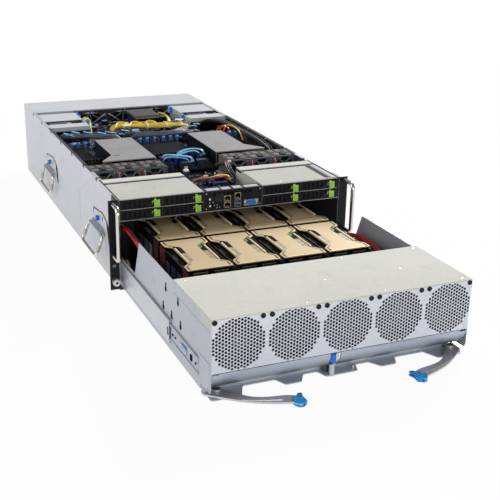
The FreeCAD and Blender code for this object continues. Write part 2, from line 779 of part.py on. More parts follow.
def mid_fan(name, x, z):
    """Square fan housing, bored through, with its motor held by three struts."""
    wide = size.mid_fan_width
    tall = size.mid_fan_top - size.bay_height - size.deck_thick
    front = size.mid_fan_front
    along = FreeCAD.Vector(0, 1, 0)
    centre = FreeCAD.Vector(x, front - 1, z)
    block = Part.makeBox(wide, size.mid_fan_depth, tall, FreeCAD.Vector(x - wide / 2, front, z - tall / 2))
    housing = block.cut(Part.makeCylinder(size.mid_fan_bore, size.mid_fan_depth + 2, centre, along))
    hub = Part.makeCylinder(8, size.mid_fan_depth - 4, centre + FreeCAD.Vector(0, 3, 0), along)
    struts = []
    for angle in (0, 120, 240):
        strut = Part.makeBox(size.mid_fan_bore + 1, 3, 2.4, FreeCAD.Vector(x, front + size.mid_fan_depth - 6, z - 1.2))
        strut.rotate(centre, along, angle)
        struts.append(strut)
    return shaped(name, housing.multiFuse([hub] + struts).removeSplitter())


# Card cages, power supplies and cables

def card_cages():
    solids = []
    for word, side in SIDES.items():
        top = "wall_height-wall-card_sheet"
        front = side_box(word + "_card_top_front", side, "card_inner", "card_outer", "card_front", top,
                         "card_gap_front-card_front", "card_sheet")
        rear = side_box(word + "_card_top_rear", side, "card_inner", "card_outer", "card_gap_rear", top,
                        "card_rear-card_gap_rear", "card_sheet")
        wall_plate = side_box(word + "_card_side", side, "card_inner", "card_inner+card_sheet", "card_front",
                              BOARD_TOP, "card_rear-card_front", "wall_height-wall-" + BOARD_TOP)
        nose = side_box(word + "_card_nose", side, "card_inner", "card_outer", "card_front", top + "-8",
                        "card_sheet", 9)
        solids.append(fuse(word + "_card_cage", [front, rear, wall_plate, nose]))
        for level, z in enumerate(("6", "20")):
            solids.append(side_box("%s_card_%d" % (word, level), side, "card_inner+card_sheet+0.2",
                                   "card_outer-4", "card_front+6", BOARD_TOP + "+" + z,
                                   "card_rear-card_front-10", 1.6))
            solids.append(side_box("%s_card_chip_%d" % (word, level), side, "card_inner+30", "card_outer-30",
                                   "card_front+30", BOARD_TOP + "+%s+1.6" % z, 60, 5))
        riser = side_box(word + "_riser", side, "card_outer-4", "card_outer-2.4", "card_front+6", BOARD_TOP,
                         "card_rear-card_front-10", 26)
        solids.append(riser)
        for index, y in enumerate(("card_gap_front+6", "card_rear-10")):
            solids.append(side_box("%s_card_lever_%d" % (word, index), side, "card_inner-6", "card_inner", y,
                                   "wall_height-wall-13", 9, 13))
    return group("card_cages", solids)


def power_supplies():
    solids = []
    for word, side in SIDES.items():
        for level in range(2):
            tag = "%s_supply_%d" % (word, level)
            low = SUPPLY_LOW % level
            start = "chassis_depth-supply_length"
            case = side_box(tag, side, SUPPLY_INNER + "+0.3", SUPPLY_OUTER + "-0.3", start, low,
                            "supply_length", "supply_height")
            middle = "(%s+%s)/2" % (SUPPLY_INNER, SUPPLY_OUTER)
            sign = "" if side > 0 else "-"
            well = cylinder(tag + "_fan_well", "y", "%s(%s-14)" % (sign, middle), "chassis_depth-3",
                            low + "+supply_height/2", 17, 4)
            inlet = side_box(tag + "_inlet", side, middle + "+10", middle + "+32", "chassis_depth-12",
                             low + "+8", 13, 22)
            grab = side_box(tag + "_handle", side, middle + "+2", middle + "+6", "chassis_depth", low + "+5", 16,
                            "supply_height-10")
            solids.append(cut(tag + "_case", fuse(tag + "_solid", [case, grab]), [well, inlet]))
    return group("power_supplies", solids)


def plug(name, middle_x, middle_y, low, top, wide, deep):
    """Connector block that a lead's end stands on."""
    return box(name, middle_x - wide / 2, middle_y - deep / 2, low, wide, deep, "%s-(%s)" % (top, low))


def yellow_cables():
    z = 164
    run = [(-70, 606), (-34, 582), (8, 572), (52, 570), (94, 567)]
    solids = [plug("bundle_start", -103, 618.3, BOARD_TOP, 150, 12, 38),
              plug("bundle_end", 118, 570.3, BOARD_TOP, 150, 12, 38)]
    for index in range(4):
        shift = 8.2 * index
        points = [(-103, 606 + shift, 150), (-103, 606 + shift, z - 1)]
        points += [(x, y + shift, z + step % 2) for step, (x, y) in enumerate(run)]
        points += [(118, 558 + shift, z - 1), (118, 558 + shift, 150)]
        solids.append(shaped("yellow_cable_%d" % index, tube(points, 3.9)))
    solids += [plug("loop_start", 76, 610, BOARD_TOP, 150, 9, 9), plug("loop_end", 79, 726, BOARD_TOP, 150, 9, 9)]
    solids.append(shaped("yellow_loop", tube([(76, 610, 150), (76, 610, 164), (86, 644, 168), (88, 690, 166),
                                              (79, 726, 162), (79, 726, 150)], 2.6)))
    solids += [plug("branch_start", -20, 616, BOARD_TOP, 150, 9, 9), plug("branch_end", 62, 632, BOARD_TOP, 148, 9, 9)]
    solids.append(shaped("yellow_branch", tube([(-20, 616, 150), (-20, 616, 160), (2, 630, 161), (36, 634, 159),
                                                (62, 632, 157), (62, 632, 148)], 3.2)))
    return group("yellow_cables", solids)


def black_cables():
    z = 168
    solids = [plug("wall_lead_start", 136, 570, BOARD_TOP, 151, 12, 12),
              plug("wall_lead_end", 205, 268, BOARD_TOP, 151, 12, 12)]
    wall_run = [(136, 570, 151), (136, 570, z - 3), (156, 582, z - 1), (178, 582, z), (198, 566, z),
                (210, 530, z - 1), (212, 466, z - 1), (214, 400, z), (212, 330, z - 1), (205, 268, z - 4),
                (205, 268, 151)]
    solids.append(shaped("wall_lead", tube(wall_run, 4.5)))
    # from plug to plug on the board
    loops = (((-59, 532), (-30, 511), (14, 494), (50, 496), (74, 516), (97, 533), (119, 540)),
             ((-44, 511), (-22, 497), (14, 485.5), (50, 487), (76, 499), (97, 520)),
             ((-59, 490), (-34, 483), (14, 477), (50, 478.5), (80, 486), (119, 504)))
    for index, (start, *run, end) in enumerate(loops):
        solids += lead("front_loop_%d" % index, start, run, end, 165)
    for index in range(3):
        drop = 8 * index
        run = [(-178, 546 - drop), (-146, 530 - drop), (-108, 522 - drop)]
        solids += lead("left_loop_%d" % index, (-204, 566 - drop), run, (-70, 522 - drop), 163)
    return group("black_cables", solids)


def lead(name, start, run, end, height):
    """Lead that leaves one plug upwards, crosses at a height and comes down on the other."""
    radius = 3.6
    low = size.board_z + size.board_thick + 3
    solids = [plug("%s_%s" % (name, word), x, y, BOARD_TOP, low, 7.6, 7.6)
              for word, (x, y) in (("start", start), ("end", end))]
    points = [(*start, low), (*start, height)]
    points += [(x, y, height + 1 - step % 2) for step, (x, y) in enumerate(run)]
    points += [(*end, height), (*end, low)]
    return solids + [shaped(name, tube(points, radius))]


# Slide rails between the chassis and the tray

OUTER_WEB = INSIDE + "-rail_sheet"
MEMBER_WEB = OUTER_WEB + "-rail_gap"
MEMBER_INNER = MEMBER_WEB + "-member_sheet"
INNER_EDGE = "(tray_wall_x+inner_rail_sheet+inner_rail_rise)"


def outer_rails():
    solids = []
    low = "rail_middle_z-outer_rail_height/2"
    for word, side in SIDES.items():
        web = side_box(word + "_rail_web", side, OUTER_WEB, INSIDE, "rail_clear", low, "outer_rail_length",
                       "outer_rail_height")
        flanges = []
        for index, z in enumerate((low, low + "+outer_rail_height-rail_sheet")):
            flanges.append(side_box("%s_rail_flange_%d" % (word, index), side, "tray_wall_x+0.6", OUTER_WEB,
                                    "rail_clear", z, "outer_rail_length", "rail_sheet"))
        solids.append(fuse(word + "_outer_rail", [web] + flanges))
    return group("outer_rails", solids)


def rail_members():
    low = "(rail_middle_z-outer_rail_height/2+rail_sheet+rail_gap)"
    height = "(outer_rail_height-2*rail_sheet-2*rail_gap)"
    for word, side in SIDES.items():
        web = side_box(word + "_member_web", side, MEMBER_INNER, MEMBER_WEB, "-member_out", low,
                       "member_length", height)
        parts = [web]
        for index, z in enumerate((low, low + "+%s-member_bead" % height)):
            parts.append(side_box("%s_member_bead_%d" % (word, index), side, "tray_wall_x+0.6", MEMBER_INNER,
                                  "-member_out", z, "member_length", "member_bead"))
        tools = [side_box(word + "_member_mouth", side, MEMBER_INNER + "-1", MEMBER_WEB + "+1", "-member_out-1",
                          low + "+member_bead+3", 7, height + "-2*member_bead-6")]
        node("%s_rail_member" % word, cut(word + "_member", fuse(word + "_member_sheet", parts), tools))


# Graphics tray: pan, lip, valance and inner rails

FRONT = "(-tray_out)"
TRAY_TOP = "(bay_height-tray_top_gap)"
PAN_TOP = "(tray_low+tray_sheet)"
LIP_BACK = FRONT + "+lip_setback"


def tray_wall(word, side):
    """Side wall of the tray with its sloped rear edge and the notch for the lever."""
    outline = [
        (FRONT + "+face_thick", TRAY_TOP + "-face_thick"),
        (FRONT + "+fan_box_depth", TRAY_TOP + "-face_thick"),
        (FRONT + "+fan_box_depth+3", TRAY_TOP + "-tray_side_drop"),
        (FRONT + "+tray_slope_top", TRAY_TOP + "-tray_side_drop"),
        (FRONT + "+tray_slope_low", "tray_low_side"),
        (FRONT + "+tray_length", "tray_low_side"),
        (FRONT + "+tray_length", "tray_low"),
        (FRONT + "+lip_setback+12", "tray_low"),
        (FRONT + "+lip_setback+5", "notch_top-10"),
        (FRONT + "+6", "notch_top-2"),
        (FRONT + "+face_thick", "notch_top+5"),
    ]
    offset = "-tray_wall_x" if side < 0 else "tray_wall_x-wall"
    plate = outline_body(word + "_tray_wall", "YZ_Plane", outline, "wall", offset)
    x = "-tray_wall_x-1" if side < 0 else "tray_wall_x-wall-1"
    tools = []
    for index, (y, z) in enumerate(KEYHOLES):
        tools.append(cylinder("%s_keyhole_%d" % (word, index), "x", x, FRONT + "+%d" % y, z, 3.2, "wall+2"))
        tools.append(box("%s_keyslot_%d" % (word, index), x, FRONT + "+%d-1.4" % y, z, "wall+2", 2.8, 9))
    return cut(word + "_tray_side", plate, tools)


# Keyholes of the side wall: distance behind the tray's front, height
KEYHOLES = ((131, 66), (173, 66), (214, 66), (142, 101), (201, 102))


def tray_lip():
    """Front lip with its tabs, each corner rounded."""
    side_points = [("27", "9"), ("33", "28"), ("57", "28"), ("69", "8"), ("95", "8"), ("104", "28"),
                   ("157", "28"), ("169", "1"), ("tray_wall_x-1", "1")]
    outline = [(x, FRONT + "+" + y) for x, y in side_points]
    outline += [("tray_wall_x-1", LIP_BACK + "+16"), ("-(tray_wall_x-1)", LIP_BACK + "+16")]
    outline += [("-(%s)" % x, FRONT + "+" + y) for x, y in reversed(side_points)]
    lip = outline_body("tray_lip", "XY_Plane", outline, "tray_sheet", "tray_low")
    doc.recompute()
    pad = lip.Tip
    edges = []
    limit = -size.tray_out + size.lip_setback
    for index, edge in enumerate(pad.Shape.Edges, 1):
        ends = [vertex.Point for vertex in edge.Vertexes]
        if abs(ends[0].z - ends[1].z) > size.tray_sheet / 2 and ends[0].y < limit:
            edges.append("Edge%d" % index)
    rounding = lip.newObject("PartDesign::Fillet", "tray_lip_rounding")
    rounding.Base = (pad, edges)
    rounding.setExpression("Radius", bound("lip_round"))
    lip.Tip = rounding
    return lip


def valance():
    """Quarter round sheet from the face plate's foot back to the lip."""
    radius = "(lip_setback-face_thick/2)"
    centre_y = FRONT + "+lip_setback"
    centre_z = "face_low"
    outer = cylinder("valance_outer", "x", "-valance_half", centre_y, centre_z, radius, "2*valance_half")
    inner = cylinder("valance_inner", "x", "-valance_half-1", centre_y, centre_z, radius + "-tray_sheet",
                     "2*valance_half+2")
    quadrant = box("valance_quadrant", "-valance_half", FRONT, "valance_low", "2*valance_half", "lip_setback",
                   "face_low-valance_low")
    sheet_ring = cut("valance_ring", outer, [inner])
    arc = doc.addObject("Part::Common", "valance_arc")
    arc.Base = sheet_ring
    arc.Tool = quadrant
    opening = box("lock_opening", "lock_x-lock_room", FRONT, "valance_low-1", "2*lock_room", "lip_setback-4",
                  "face_low-valance_low+1")
    arc = cut("valance_sheet", arc, [opening])
    drop = box("valance_drop", "-valance_half", LIP_BACK + "-tray_sheet", PAN_TOP, "2*valance_half",
               "tray_sheet", "valance_low-tray_low")
    return [arc, drop]


def tray_pan():
    floor = box("pan_floor", "-tray_wall_x+wall", LIP_BACK, "tray_low", "2*(tray_wall_x-wall)",
                "tray_length-lip_setback", "tray_sheet")
    back = box("pan_back", "-tray_wall_x+wall", FRONT + "+tray_length-tray_sheet", "tray_low",
               "2*(tray_wall_x-wall)", "tray_sheet", "tray_low_side-tray_low")
    parts = [floor, back, tray_lip()] + valance()
    tools = []
    for word, side in SIDES.items():
        parts.append(tray_wall(word, side))
        pivot_x = "pivot_x" if side > 0 else "-pivot_x"
        pivot_y = FRONT + "+pivot_setback"
        parts.append(cylinder(word + "_pivot_washer", "z", pivot_x, pivot_y, PAN_TOP, 7,
                              "lever_z-lever_gap-" + PAN_TOP))
        parts.append(cylinder(word + "_pivot", "z", pivot_x, pivot_y, PAN_TOP, "pivot_radius-pivot_fit",
                              "lever_z+lever_thick+lever_gap+1-" + PAN_TOP))
        parts.append(cylinder(word + "_pivot_head", "z", pivot_x, pivot_y, "lever_z+lever_thick+lever_gap", 6.4,
                              2))
        parts += inner_rail(word, side)
    parts.append(cylinder("lock_bushing", "z", "lock_x", FRONT + "+lock_setback", "tray_low", 4.6, 20))
    tools.append(cylinder("lock_bore", "z", "lock_x", FRONT + "+lock_setback", "tray_low-1",
                          "lock_radius+lock_fit/2", 30))
    parts.append(cylinder("lip_stud", "z", 22, FRONT + "+16", PAN_TOP, 2, 7))
    return node("tray_pan", cut("pan", fuse("pan_sheets", parts), tools))


def inner_rail(word, side):
    """Rail riveted to the tray's side wall, running inside the middle member."""
    low = "rail_middle_z-inner_rail_height/2"
    start = FRONT + "+inner_rail_setback"
    web = side_box(word + "_inner_rail", side, "tray_wall_x", "tray_wall_x+inner_rail_sheet", start, low,
                   "inner_rail_length", "inner_rail_height")
    parts = [web]
    for index, z in enumerate((low, low + "+inner_rail_height-3")):
        parts.append(side_box("%s_inner_edge_%d" % (word, index), side, "tray_wall_x+inner_rail_sheet",
                              INNER_EDGE, start, z, "inner_rail_length", 3))
    parts.append(side_box(word + "_rail_catch", side, "tray_wall_x+inner_rail_sheet", INNER_EDGE,
                          start + "+49", low + "+7", 21, 9))
    return parts


# Fan box of the tray: cover, face with its fan grilles, frames and rotors

FANS = (-2, -1, 0, 1, 2)


def hexagon_tool(centre_x, centre_z):
    """Honeycomb of six-sided holes in a round field, for one fan."""
    pitch = size.grille_pitch
    rings = int(size.grille_rings)
    across = size.grille_hole / math.sqrt(3)
    holes = []
    for row in range(-rings, rings + 1):
        count = 2 * rings + 1 - abs(row)
        for step in range(count):
            x = centre_x + (step - (count - 1) / 2) * pitch
            z = centre_z + row * pitch * math.sqrt(3) / 2
            corners = []
            for turn in range(7):
                angle = math.radians(60 * turn + 30)
                corners.append(FreeCAD.Vector(x + across * math.cos(angle), -size.tray_out - 1,
                                              z + across * math.sin(angle)))
            face = Part.Face(Part.makePolygon(corners))
            holes.append(face.extrude(FreeCAD.Vector(0, size.face_thick + 2, 0)))
    return holes


def fan_housing():
    cover = box("box_cover", "-tray_wall_x", FRONT, TRAY_TOP + "-face_thick", "2*tray_wall_x", "fan_box_depth",
                "face_thick")
    face = box("box_face", "-tray_wall_x", FRONT, "face_low", "2*tray_wall_x", "face_thick",
               TRAY_TOP + "-face_low-face_thick/2")
    hem = box("box_hem", "-tray_wall_x+wall+0.5", FRONT + "+fan_box_depth-face_thick", TRAY_TOP + "-9",
              "2*(tray_wall_x-wall-0.5)", "face_thick", "9-face_thick/2")
    holes = []
    for index in FANS:
        holes += hexagon_tool(index * size.fan_pitch, size.fan_z)
    grille = cut("box_grille", face, [shaped("box_holes", Part.makeCompound(holes))])
    parts = [cover, grille, hem]
    for word, side in SIDES.items():
        outline = [(FRONT, TRAY_TOP), (FRONT + "+81", TRAY_TOP), (FRONT + "+81", TRAY_TOP + "-1.5"),
                   (FRONT + "+42", TRAY_TOP + "-2"), (FRONT + "+29", TRAY_TOP + "-15.5"),
                   (FRONT, TRAY_TOP + "-15.5")]
        offset = "-tray_wall_x-flap_thick" if side < 0 else "tray_wall_x"
        parts.append(outline_body(word + "_flap", "YZ_Plane", outline, "flap_thick", offset))
    return node("fan_housing", fuse("fan_box", parts))


def fan_frames():
    """Five square frames; struts behind the rotor carry the motor and its shaft."""
    frames = []
    along = FreeCAD.Vector(0, 1, 0)
    front = -size.tray_out + size.face_thick
    depth = size.fan_frame_depth
    for index in FANS:
        x = index * size.fan_pitch
        centre = FreeCAD.Vector(x, front, size.fan_z)
        corner = centre - FreeCAD.Vector(size.fan_frame_wide / 2, 0, size.fan_frame / 2)
        block = Part.makeBox(size.fan_frame_wide, depth, size.fan_frame, corner)
        frame = block.cut(Part.makeCylinder(size.fan_bore, depth, centre, along))
        rear = centre + FreeCAD.Vector(0, depth - 6, 0)
        parts = [Part.makeCylinder(size.fan_hub, 6, rear, along)]
        shaft_start = centre + FreeCAD.Vector(0, rotor_front() + 4, 0)
        parts.append(Part.makeCylinder(size.shaft_radius, depth - 6 - rotor_front() - 4, shaft_start, along))
        for turn in range(4):
            strut = Part.makeBox(size.fan_bore + 0.5, 4, 3.4, rear - FreeCAD.Vector(0, -2, 1.7))
            strut.rotate(centre, along, 45 + 90 * turn)
            parts.append(strut)
        frames.append(shaped("fan_frame_%d" % (index + 2), frame.multiFuse(parts)))
    for index, x in enumerate([fan * size.fan_pitch + side * 37 for fan in FANS for side in (-1, 1)]):
        stud = Part.makeCylinder(4, 1.2, FreeCAD.Vector(x, -size.tray_out - 1.2, size.bay_height - 4.5 - 1.5), along)
        frames.append(shaped("frame_stud_%d" % index, stud))
    return group("fan_frames", frames)


def rotor_front():
    return size.fan_frame_depth - 6 - size.fan_gap - size.fan_hub_depth


def fan_rotors():
    along = FreeCAD.Vector(0, 1, 0)
    for index in FANS:
        front = -size.tray_out + size.face_thick + rotor_front()
        centre = FreeCAD.Vector(index * size.fan_pitch, front, size.fan_z)
        hub = Part.makeCylinder(size.fan_hub, size.fan_hub_depth, centre, along)
        bore_start = centre + FreeCAD.Vector(0, 4 - size.fan_gap, 0)
        bore = Part.makeCylinder(size.shaft_radius + size.shaft_fit, size.fan_hub_depth, bore_start, along)
        blades = []
        for turn in range(int(size.blade_count)):
            blade = rotor_blade(centre)
            blade.rotate(centre, along, turn * 360 / size.blade_count)
            blades.append(blade)
        sweep = Part.makeCylinder(size.blade_tip, size.fan_hub_depth, centre, along)
        shape = hub.multiFuse(blades).common(sweep).cut(bore)
        node("fan_rotor_%d" % (index + 3), shaped("rotor_%d" % (index + 3), shape))


def rotor_blade(centre):
    """Twisted blade, steeper at the hub than at the tip."""
    sections = []
    middle = centre + FreeCAD.Vector(0, size.fan_hub_depth / 2, 0)
    for reach, pitch, chord in ((size.fan_hub - 2, 52, 0.72), (size.blade_tip - 10, 38, 0.95),
                                (size.blade_tip + 1, 30, 1.0)):
        run = size.blade_chord * chord / 2
        angle = math.radians(pitch)
        chord_line = FreeCAD.Vector(math.cos(angle), math.sin(angle), 0) * run
        across = FreeCAD.Vector(-math.sin(angle), math.cos(angle), 0) * (size.blade_thick / 2)
        base = middle + FreeCAD.Vector(0, 0, reach)
        corners = [base - chord_line - across, base + chord_line - across,
                   base + chord_line + across, base - chord_line + across]
        sections.append(Part.makePolygon(corners + corners[:1]))
    return Part.makeLoft(sections, True, True)


# Graphics modules on their board

GPU_ROWS = 2
GPU_COLUMNS = 4


def gpu_corner(row, column):
    """Left front corner of a module, as formulas."""
    x = "(gpu_shift+%g*gpu_pitch-gpu_width/2)" % (column - (GPU_COLUMNS - 1) / 2)
    y = "(%s+gpu_front+%d*gpu_row_pitch)" % (FRONT, row)
    return x, y


def gpu_heatsinks():
    """Base, fins and side plates of each module's cooler."""
    solids = []
    fin_low = "gpu_base_z+gpu_base_thick"
    step = "((gpu_width-gpu_fin)/(gpu_fin_count-1))"
    for row in range(GPU_ROWS):
        for column in range(GPU_COLUMNS):
            tag = "gpu_%d_%d" % (row, column)
            x, y = gpu_corner(row, column)
            parts = [box(tag + "_base", x, y, "gpu_base_z", "gpu_width", "gpu_length", "gpu_base_thick")]
            for fin in range(int(size.gpu_fin_count)):
                parts.append(box("%s_fin_%d" % (tag, fin), "%s+%d*%s" % (x, fin, step), y, fin_low + "-1",
                                 "gpu_fin", "gpu_length", "gpu_cover_z-gpu_base_z-gpu_base_thick+1"))
            solids.append(fuse(tag + "_cooler", parts))
    return group("gpu_heatsinks", solids)


def cover_outline():
    """Plate with a long waist, centred on the module."""
    half = "gpu_width/2"
    deep = half + "-cover_notch"
    rise = "gpu_length/2"
    right = [(half, "-(%s)" % rise), (half, "-(waist_front+waist_slant)"), (deep, "-waist_front"),
             (deep, "waist_rear"), (half, "waist_rear+waist_slant"), (half, rise)]
    return right + [("-(%s)" % across, along) for across, along in reversed(right)]


def gpu_covers():
    """Cover plates with a raised bar and a long slot beside each edge of the waist, one on each cooler."""
    plate = outline_body("cover_plate", "XY_Plane", cover_outline(), "gpu_cover_thick-2", "gpu_cover_z")
    bars = []
    slots = []
    for word, side in SIDES.items():
        bars.append(side_box(word + "_cover_bar", side, "gpu_width/2-cover_notch-6", "gpu_width/2-cover_notch-0.5",
                             "-waist_front+2", "gpu_cover_z", "waist_front+waist_rear-6", "gpu_cover_thick"))
        slots.append(side_box(word + "_cover_slot", side, "gpu_width/2-cover_notch-16",
                              "gpu_width/2-cover_notch-8", 4, "gpu_cover_z-1", "waist_rear-8",
                              "gpu_cover_thick+2"))
    master = cut("cover_master", fuse("cover_solid", [plate] + bars), slots)
    doc.recompute()
    covers = []
    for row in range(GPU_ROWS):
        for column in range(GPU_COLUMNS):
            copy = shaped("cover_%d_%d" % (row, column), master.Shape.copy())
            x, y = gpu_corner(row, column)
            place(copy, x + "+gpu_width/2", y + "+gpu_length/2", 0)
            covers.append(copy)
    return group("gpu_covers", covers)


def gpu_board():
    """Carrier board on standoffs, a small board under each module, and the rear connectors."""
    left = "(gpu_shift-2*gpu_pitch+1)"
    wide = "(4*gpu_pitch-2)"
    start = "(%s+gpu_front-8)" % FRONT
    length = "(gpu_row_pitch+gpu_length+22)"
    top = "(gpu_board_z+gpu_board_thick)"
    solids = [box("carrier_board", left, start, "gpu_board_z", wide, length, "gpu_board_thick")]
    for row in range(3):
        for column in range(5):
            x = "%s+8+%d*(%s-16)/4" % (left, column, wide)
            y = "%s+8+%d*(%s-16)/2" % (start, row, length)
            solids.append(cylinder("board_post_%d_%d" % (row, column), "z", x, y, PAN_TOP, 3.5,
                                   "gpu_board_z-" + PAN_TOP))
    for row in range(GPU_ROWS):
        for column in range(GPU_COLUMNS):
            x, y = gpu_corner(row, column)
            tag = "%d_%d" % (row, column)
            solids.append(box("module_board_" + tag, x + "+2", y + "+2", "gpu_base_z-2", "gpu_width-4",
                              "gpu_length-4", 2))
            for bar in range(2):
                solids.append(box("module_plug_%s_%d" % (tag, bar), x + "+14", y + "+24+%d*70" % bar, top,
                                  "gpu_width-28", 22, "gpu_base_z-2-" + top))
    for index in range(4):
        solids.append(box("rear_plug_%d" % index, "gpu_shift-130+%d*72" % index,
                          "%s+tray_length-tray_sheet-14" % FRONT, PAN_TOP, 44, 14, 30))
    return group("gpu_board", solids)


def tray_cables():
    """Leads beside the modules, each between two plugs on the floor: side, radius, then distance
    from the wall, distance behind the tray's front, height."""
    runs = (
        ("left_power_a", -1, 4.2, ((20, 186, 34), (19, 206, 80), (15, 246, 92), (14, 300, 96), (15, 350, 92),
                                   (20, 392, 76), (24, 420, 34))),
        ("left_power_b", -1, 4.2, ((34, 188, 30), (31, 210, 64), (26, 248, 80), (24, 300, 84), (25, 350, 80),
                                   (30, 392, 62), (36, 416, 30))),
        ("right_power", 1, 3.4, ((26, 190, 34), (22, 212, 82), (15, 250, 95), (12, 300, 98), (14, 350, 93),
                                 (19, 396, 34))),
        ("right_wire", 1, 2.0, ((10, 152, 20), (7, 172, 108), (6, 194, 118), (9, 212, 106), (12, 228, 20))),
        ("left_wire", -1, 2.0, ((6, 152, 20), (6, 170, 66), (7, 196, 52), (9, 224, 20))),
    )
    solids = []
    for name, side, radius, run in runs:
        points = [(side * (size.tray_wall_x - size.wall - gap), -size.tray_out + behind, z)
                  for gap, behind, z in run]
        wide = 2.6 * radius
        for word, foot, beside in (("start", points[0], points[1]), ("end", points[-1], points[-2])):
            solids.append(plug("%s_%s" % (name, word), foot[0], foot[1], PAN_TOP, foot[2], wide, wide))
        rises = [(points[0][0], points[0][1], points[1][2] - 16), (points[-1][0], points[-1][1], points[-2][2] - 16)]
        points = [points[0], rises[0]] + points[1:-1] + [rises[1], points[-1]]
        solids.append(shaped(name, tube(points, radius)))
    return group("tray_cables", solids)


# Pull levers and the lock pin

def levers():
    for word, side in SIDES.items():
        def at(along, out, z):
            return (side * (size.pivot_x - along), -size.tray_out + size.pivot_setback + out, z)
        low = size.lever_z
        heel = [at(-13, 13.5, low), at(-21, 7, low), at(-20, -5, low)]
        outer = [heel[2], at(-4, -19, low), at(36, -49, low), at(70, -65, low), at(92, -72, low)]
        inner = [at(108, -66, low), at(96, -52, low), at(72, -46, low), at(42, -36, low), at(12, -4, low),
                 heel[0]]
        edges = [smooth(heel), smooth(outer), Part.LineSegment(FreeCAD.Vector(*outer[-1]),
                                                              FreeCAD.Vector(*inner[0])).toShape(),
                 smooth(inner)]
        plan = Part.Face(Part.Wire(Part.sortEdges(edges)[0]))
        blade = plan.extrude(FreeCAD.Vector(0, 0, size.lever_thick))
        bore = Part.makeCylinder(size.pivot_radius, size.lever_thick + 2, FreeCAD.Vector(*at(0, 0, low - 1)))
        arm = blade.cut(bore)
        node("%s_lever" % word, shaped(word + "_arm", arm))
        low = size.lever_z + size.lever_thick / 2 - size.grip_thick / 2
        tip = [at(84, -60, low), at(98, -54, low), at(112, -50, low), at(116, -62, low), at(111, -78, low),
               at(103, -89, low), at(92, -84, low), at(84, -74, low)]
        corners = [FreeCAD.Vector(*point) for point in tip]
        grip = Part.Face(Part.makePolygon(corners + corners[:1])).extrude(FreeCAD.Vector(0, 0, size.grip_thick))
        upright = [edge for edge in grip.Edges if abs(edge.tangentAt(edge.FirstParameter).z) > 0.9]
        grip = grip.makeFillet(2.5, upright)
        node("%s_lever_grip" % word, shaped(word + "_grip", grip.cut(arm)))


def lock_pin():
    y = FRONT + "+lock_setback"
    rod = cylinder("lock_rod", "z", "lock_x", y, "tray_low", "lock_radius-lock_fit/2", "lock_high-tray_low-6")
    knob = cylinder("lock_head", "z", "lock_x", y, "lock_high-14", "lock_knob", 12)
    return node("lock_pin", fuse("lock", [rod, knob]))


# Lifting handles on the side walls

def bail_places():
    for word, side in SIDES.items():
        for spot in ("front", "rear"):
            yield word, side, spot


def bail_axle_x():
    reach = size.bail_wire + size.bail_fit + size.sleeve_wall - size.sleeve_sink
    return size.chassis_width / 2 + size.bracket_thick + reach


def bails():
    for word, side, spot in bail_places():
        middle = getattr(size, "bail_%s_y" % spot)
        tilt = getattr(size, "bail_tilt_" + spot)
        x = side * bail_axle_x()
        top = size.bail_z
        low = top - size.bail_drop
        front = middle - size.bail_width / 2
        rear = middle + size.bail_width / 2
        ring = []
        for start in (front, rear):
            points = [(x, middle, top), (x, start, top), (x, start, low), (x, middle, low)]
            ring.append(tube(points, size.bail_wire, size.bail_bend))
        handle = ring[0].fuse(ring[1])
        handle.rotate(FreeCAD.Vector(x, middle, top), FreeCAD.Vector(0, 1, 0), side * -tilt)
        node("%s_%s_bail" % (word, spot), shaped("%s_%s_ring" % (word, spot), handle))


def bail_brackets():
    """Wall plate, rolled sleeve round the bail's axle, and the release button."""
    solids = []
    for word, side, spot in bail_places():
        tag = "%s_%s_" % (word, spot)
        middle = "bail_%s_y" % spot
        long = "(bail_width-2*bail_bend-8)"
        plate = side_box(tag + "plate", side, HALF, HALF + "+bracket_thick", "%s-%s/2" % (middle, long),
                         "bail_z-9", long, 18)
        radius = "(bail_wire+bail_fit)"
        x = "%s(%s+bracket_thick+%s+sleeve_wall-sleeve_sink)" % ("" if side > 0 else "-", HALF, radius)
        sleeve = cylinder(tag + "sleeve", "y", x, "%s-%s/2" % (middle, long), "bail_z", radius + "+sleeve_wall",
                          long)
        bore = cylinder(tag + "bore", "y", x, "%s-%s/2-1" % (middle, long), "bail_z", radius, long + "+2")
        neck = side_box(tag + "neck", side, HALF + "+bracket_thick-0.5", HALF + "+bracket_thick+sleeve_wall+2",
                        "%s-%s/2" % (middle, long), "bail_z+1", long, 6)
        solids.append(cut(tag + "bracket", fuse(tag + "sheet", [plate, sleeve, neck]), [bore]))
        button_x = HALF if side > 0 else "-%s-release_depth" % HALF
        solids.append(cylinder(tag + "release", "x", button_x, middle, "bail_z+release_rise", "release_radius",
                               "release_depth"))
    return group("bail_brackets", solids)


# Build every node, check it and write it

BUILDERS = (chassis_shell, mid_deck, rear_cover, drive_cages, rack_ears, grab_handles, front_panel, mainboard,
            memory_sockets, air_ducts, fan_row, card_cages, power_supplies, yellow_cables, black_cables,
            outer_rails, bail_brackets, rail_members, tray_pan, fan_housing, fan_frames, gpu_heatsinks,
            gpu_covers, gpu_board, tray_cables, levers, fan_rotors, drive_carriers, bails, thumb_screws,
            lock_pin)


def check(item):
    failed = [word for word in item.State if word in ("Invalid", "Error")]
    if failed:
        raise RuntimeError("%s is %s" % (item.Name, failed))


def main():
    for build in BUILDERS:
        build()
    doc.recompute()
    for item in doc.Objects:
        check(item)
    for item in NODES:
        if item.Shape.isNull() or not item.Shape.isValid():
            raise RuntimeError("%s has no valid shape" % item.Label)
    os.makedirs("parts", exist_ok=True)
    for item in NODES:
        item.Shape.exportStep("parts/%s.step" % item.Label)
    print("%d nodes, %d solids" % (len(NODES), sum(len(item.Shape.Solids) for item in NODES)))


main()
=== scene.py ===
import json
import math
import random

import bpy
from mathutils import Matrix, Vector


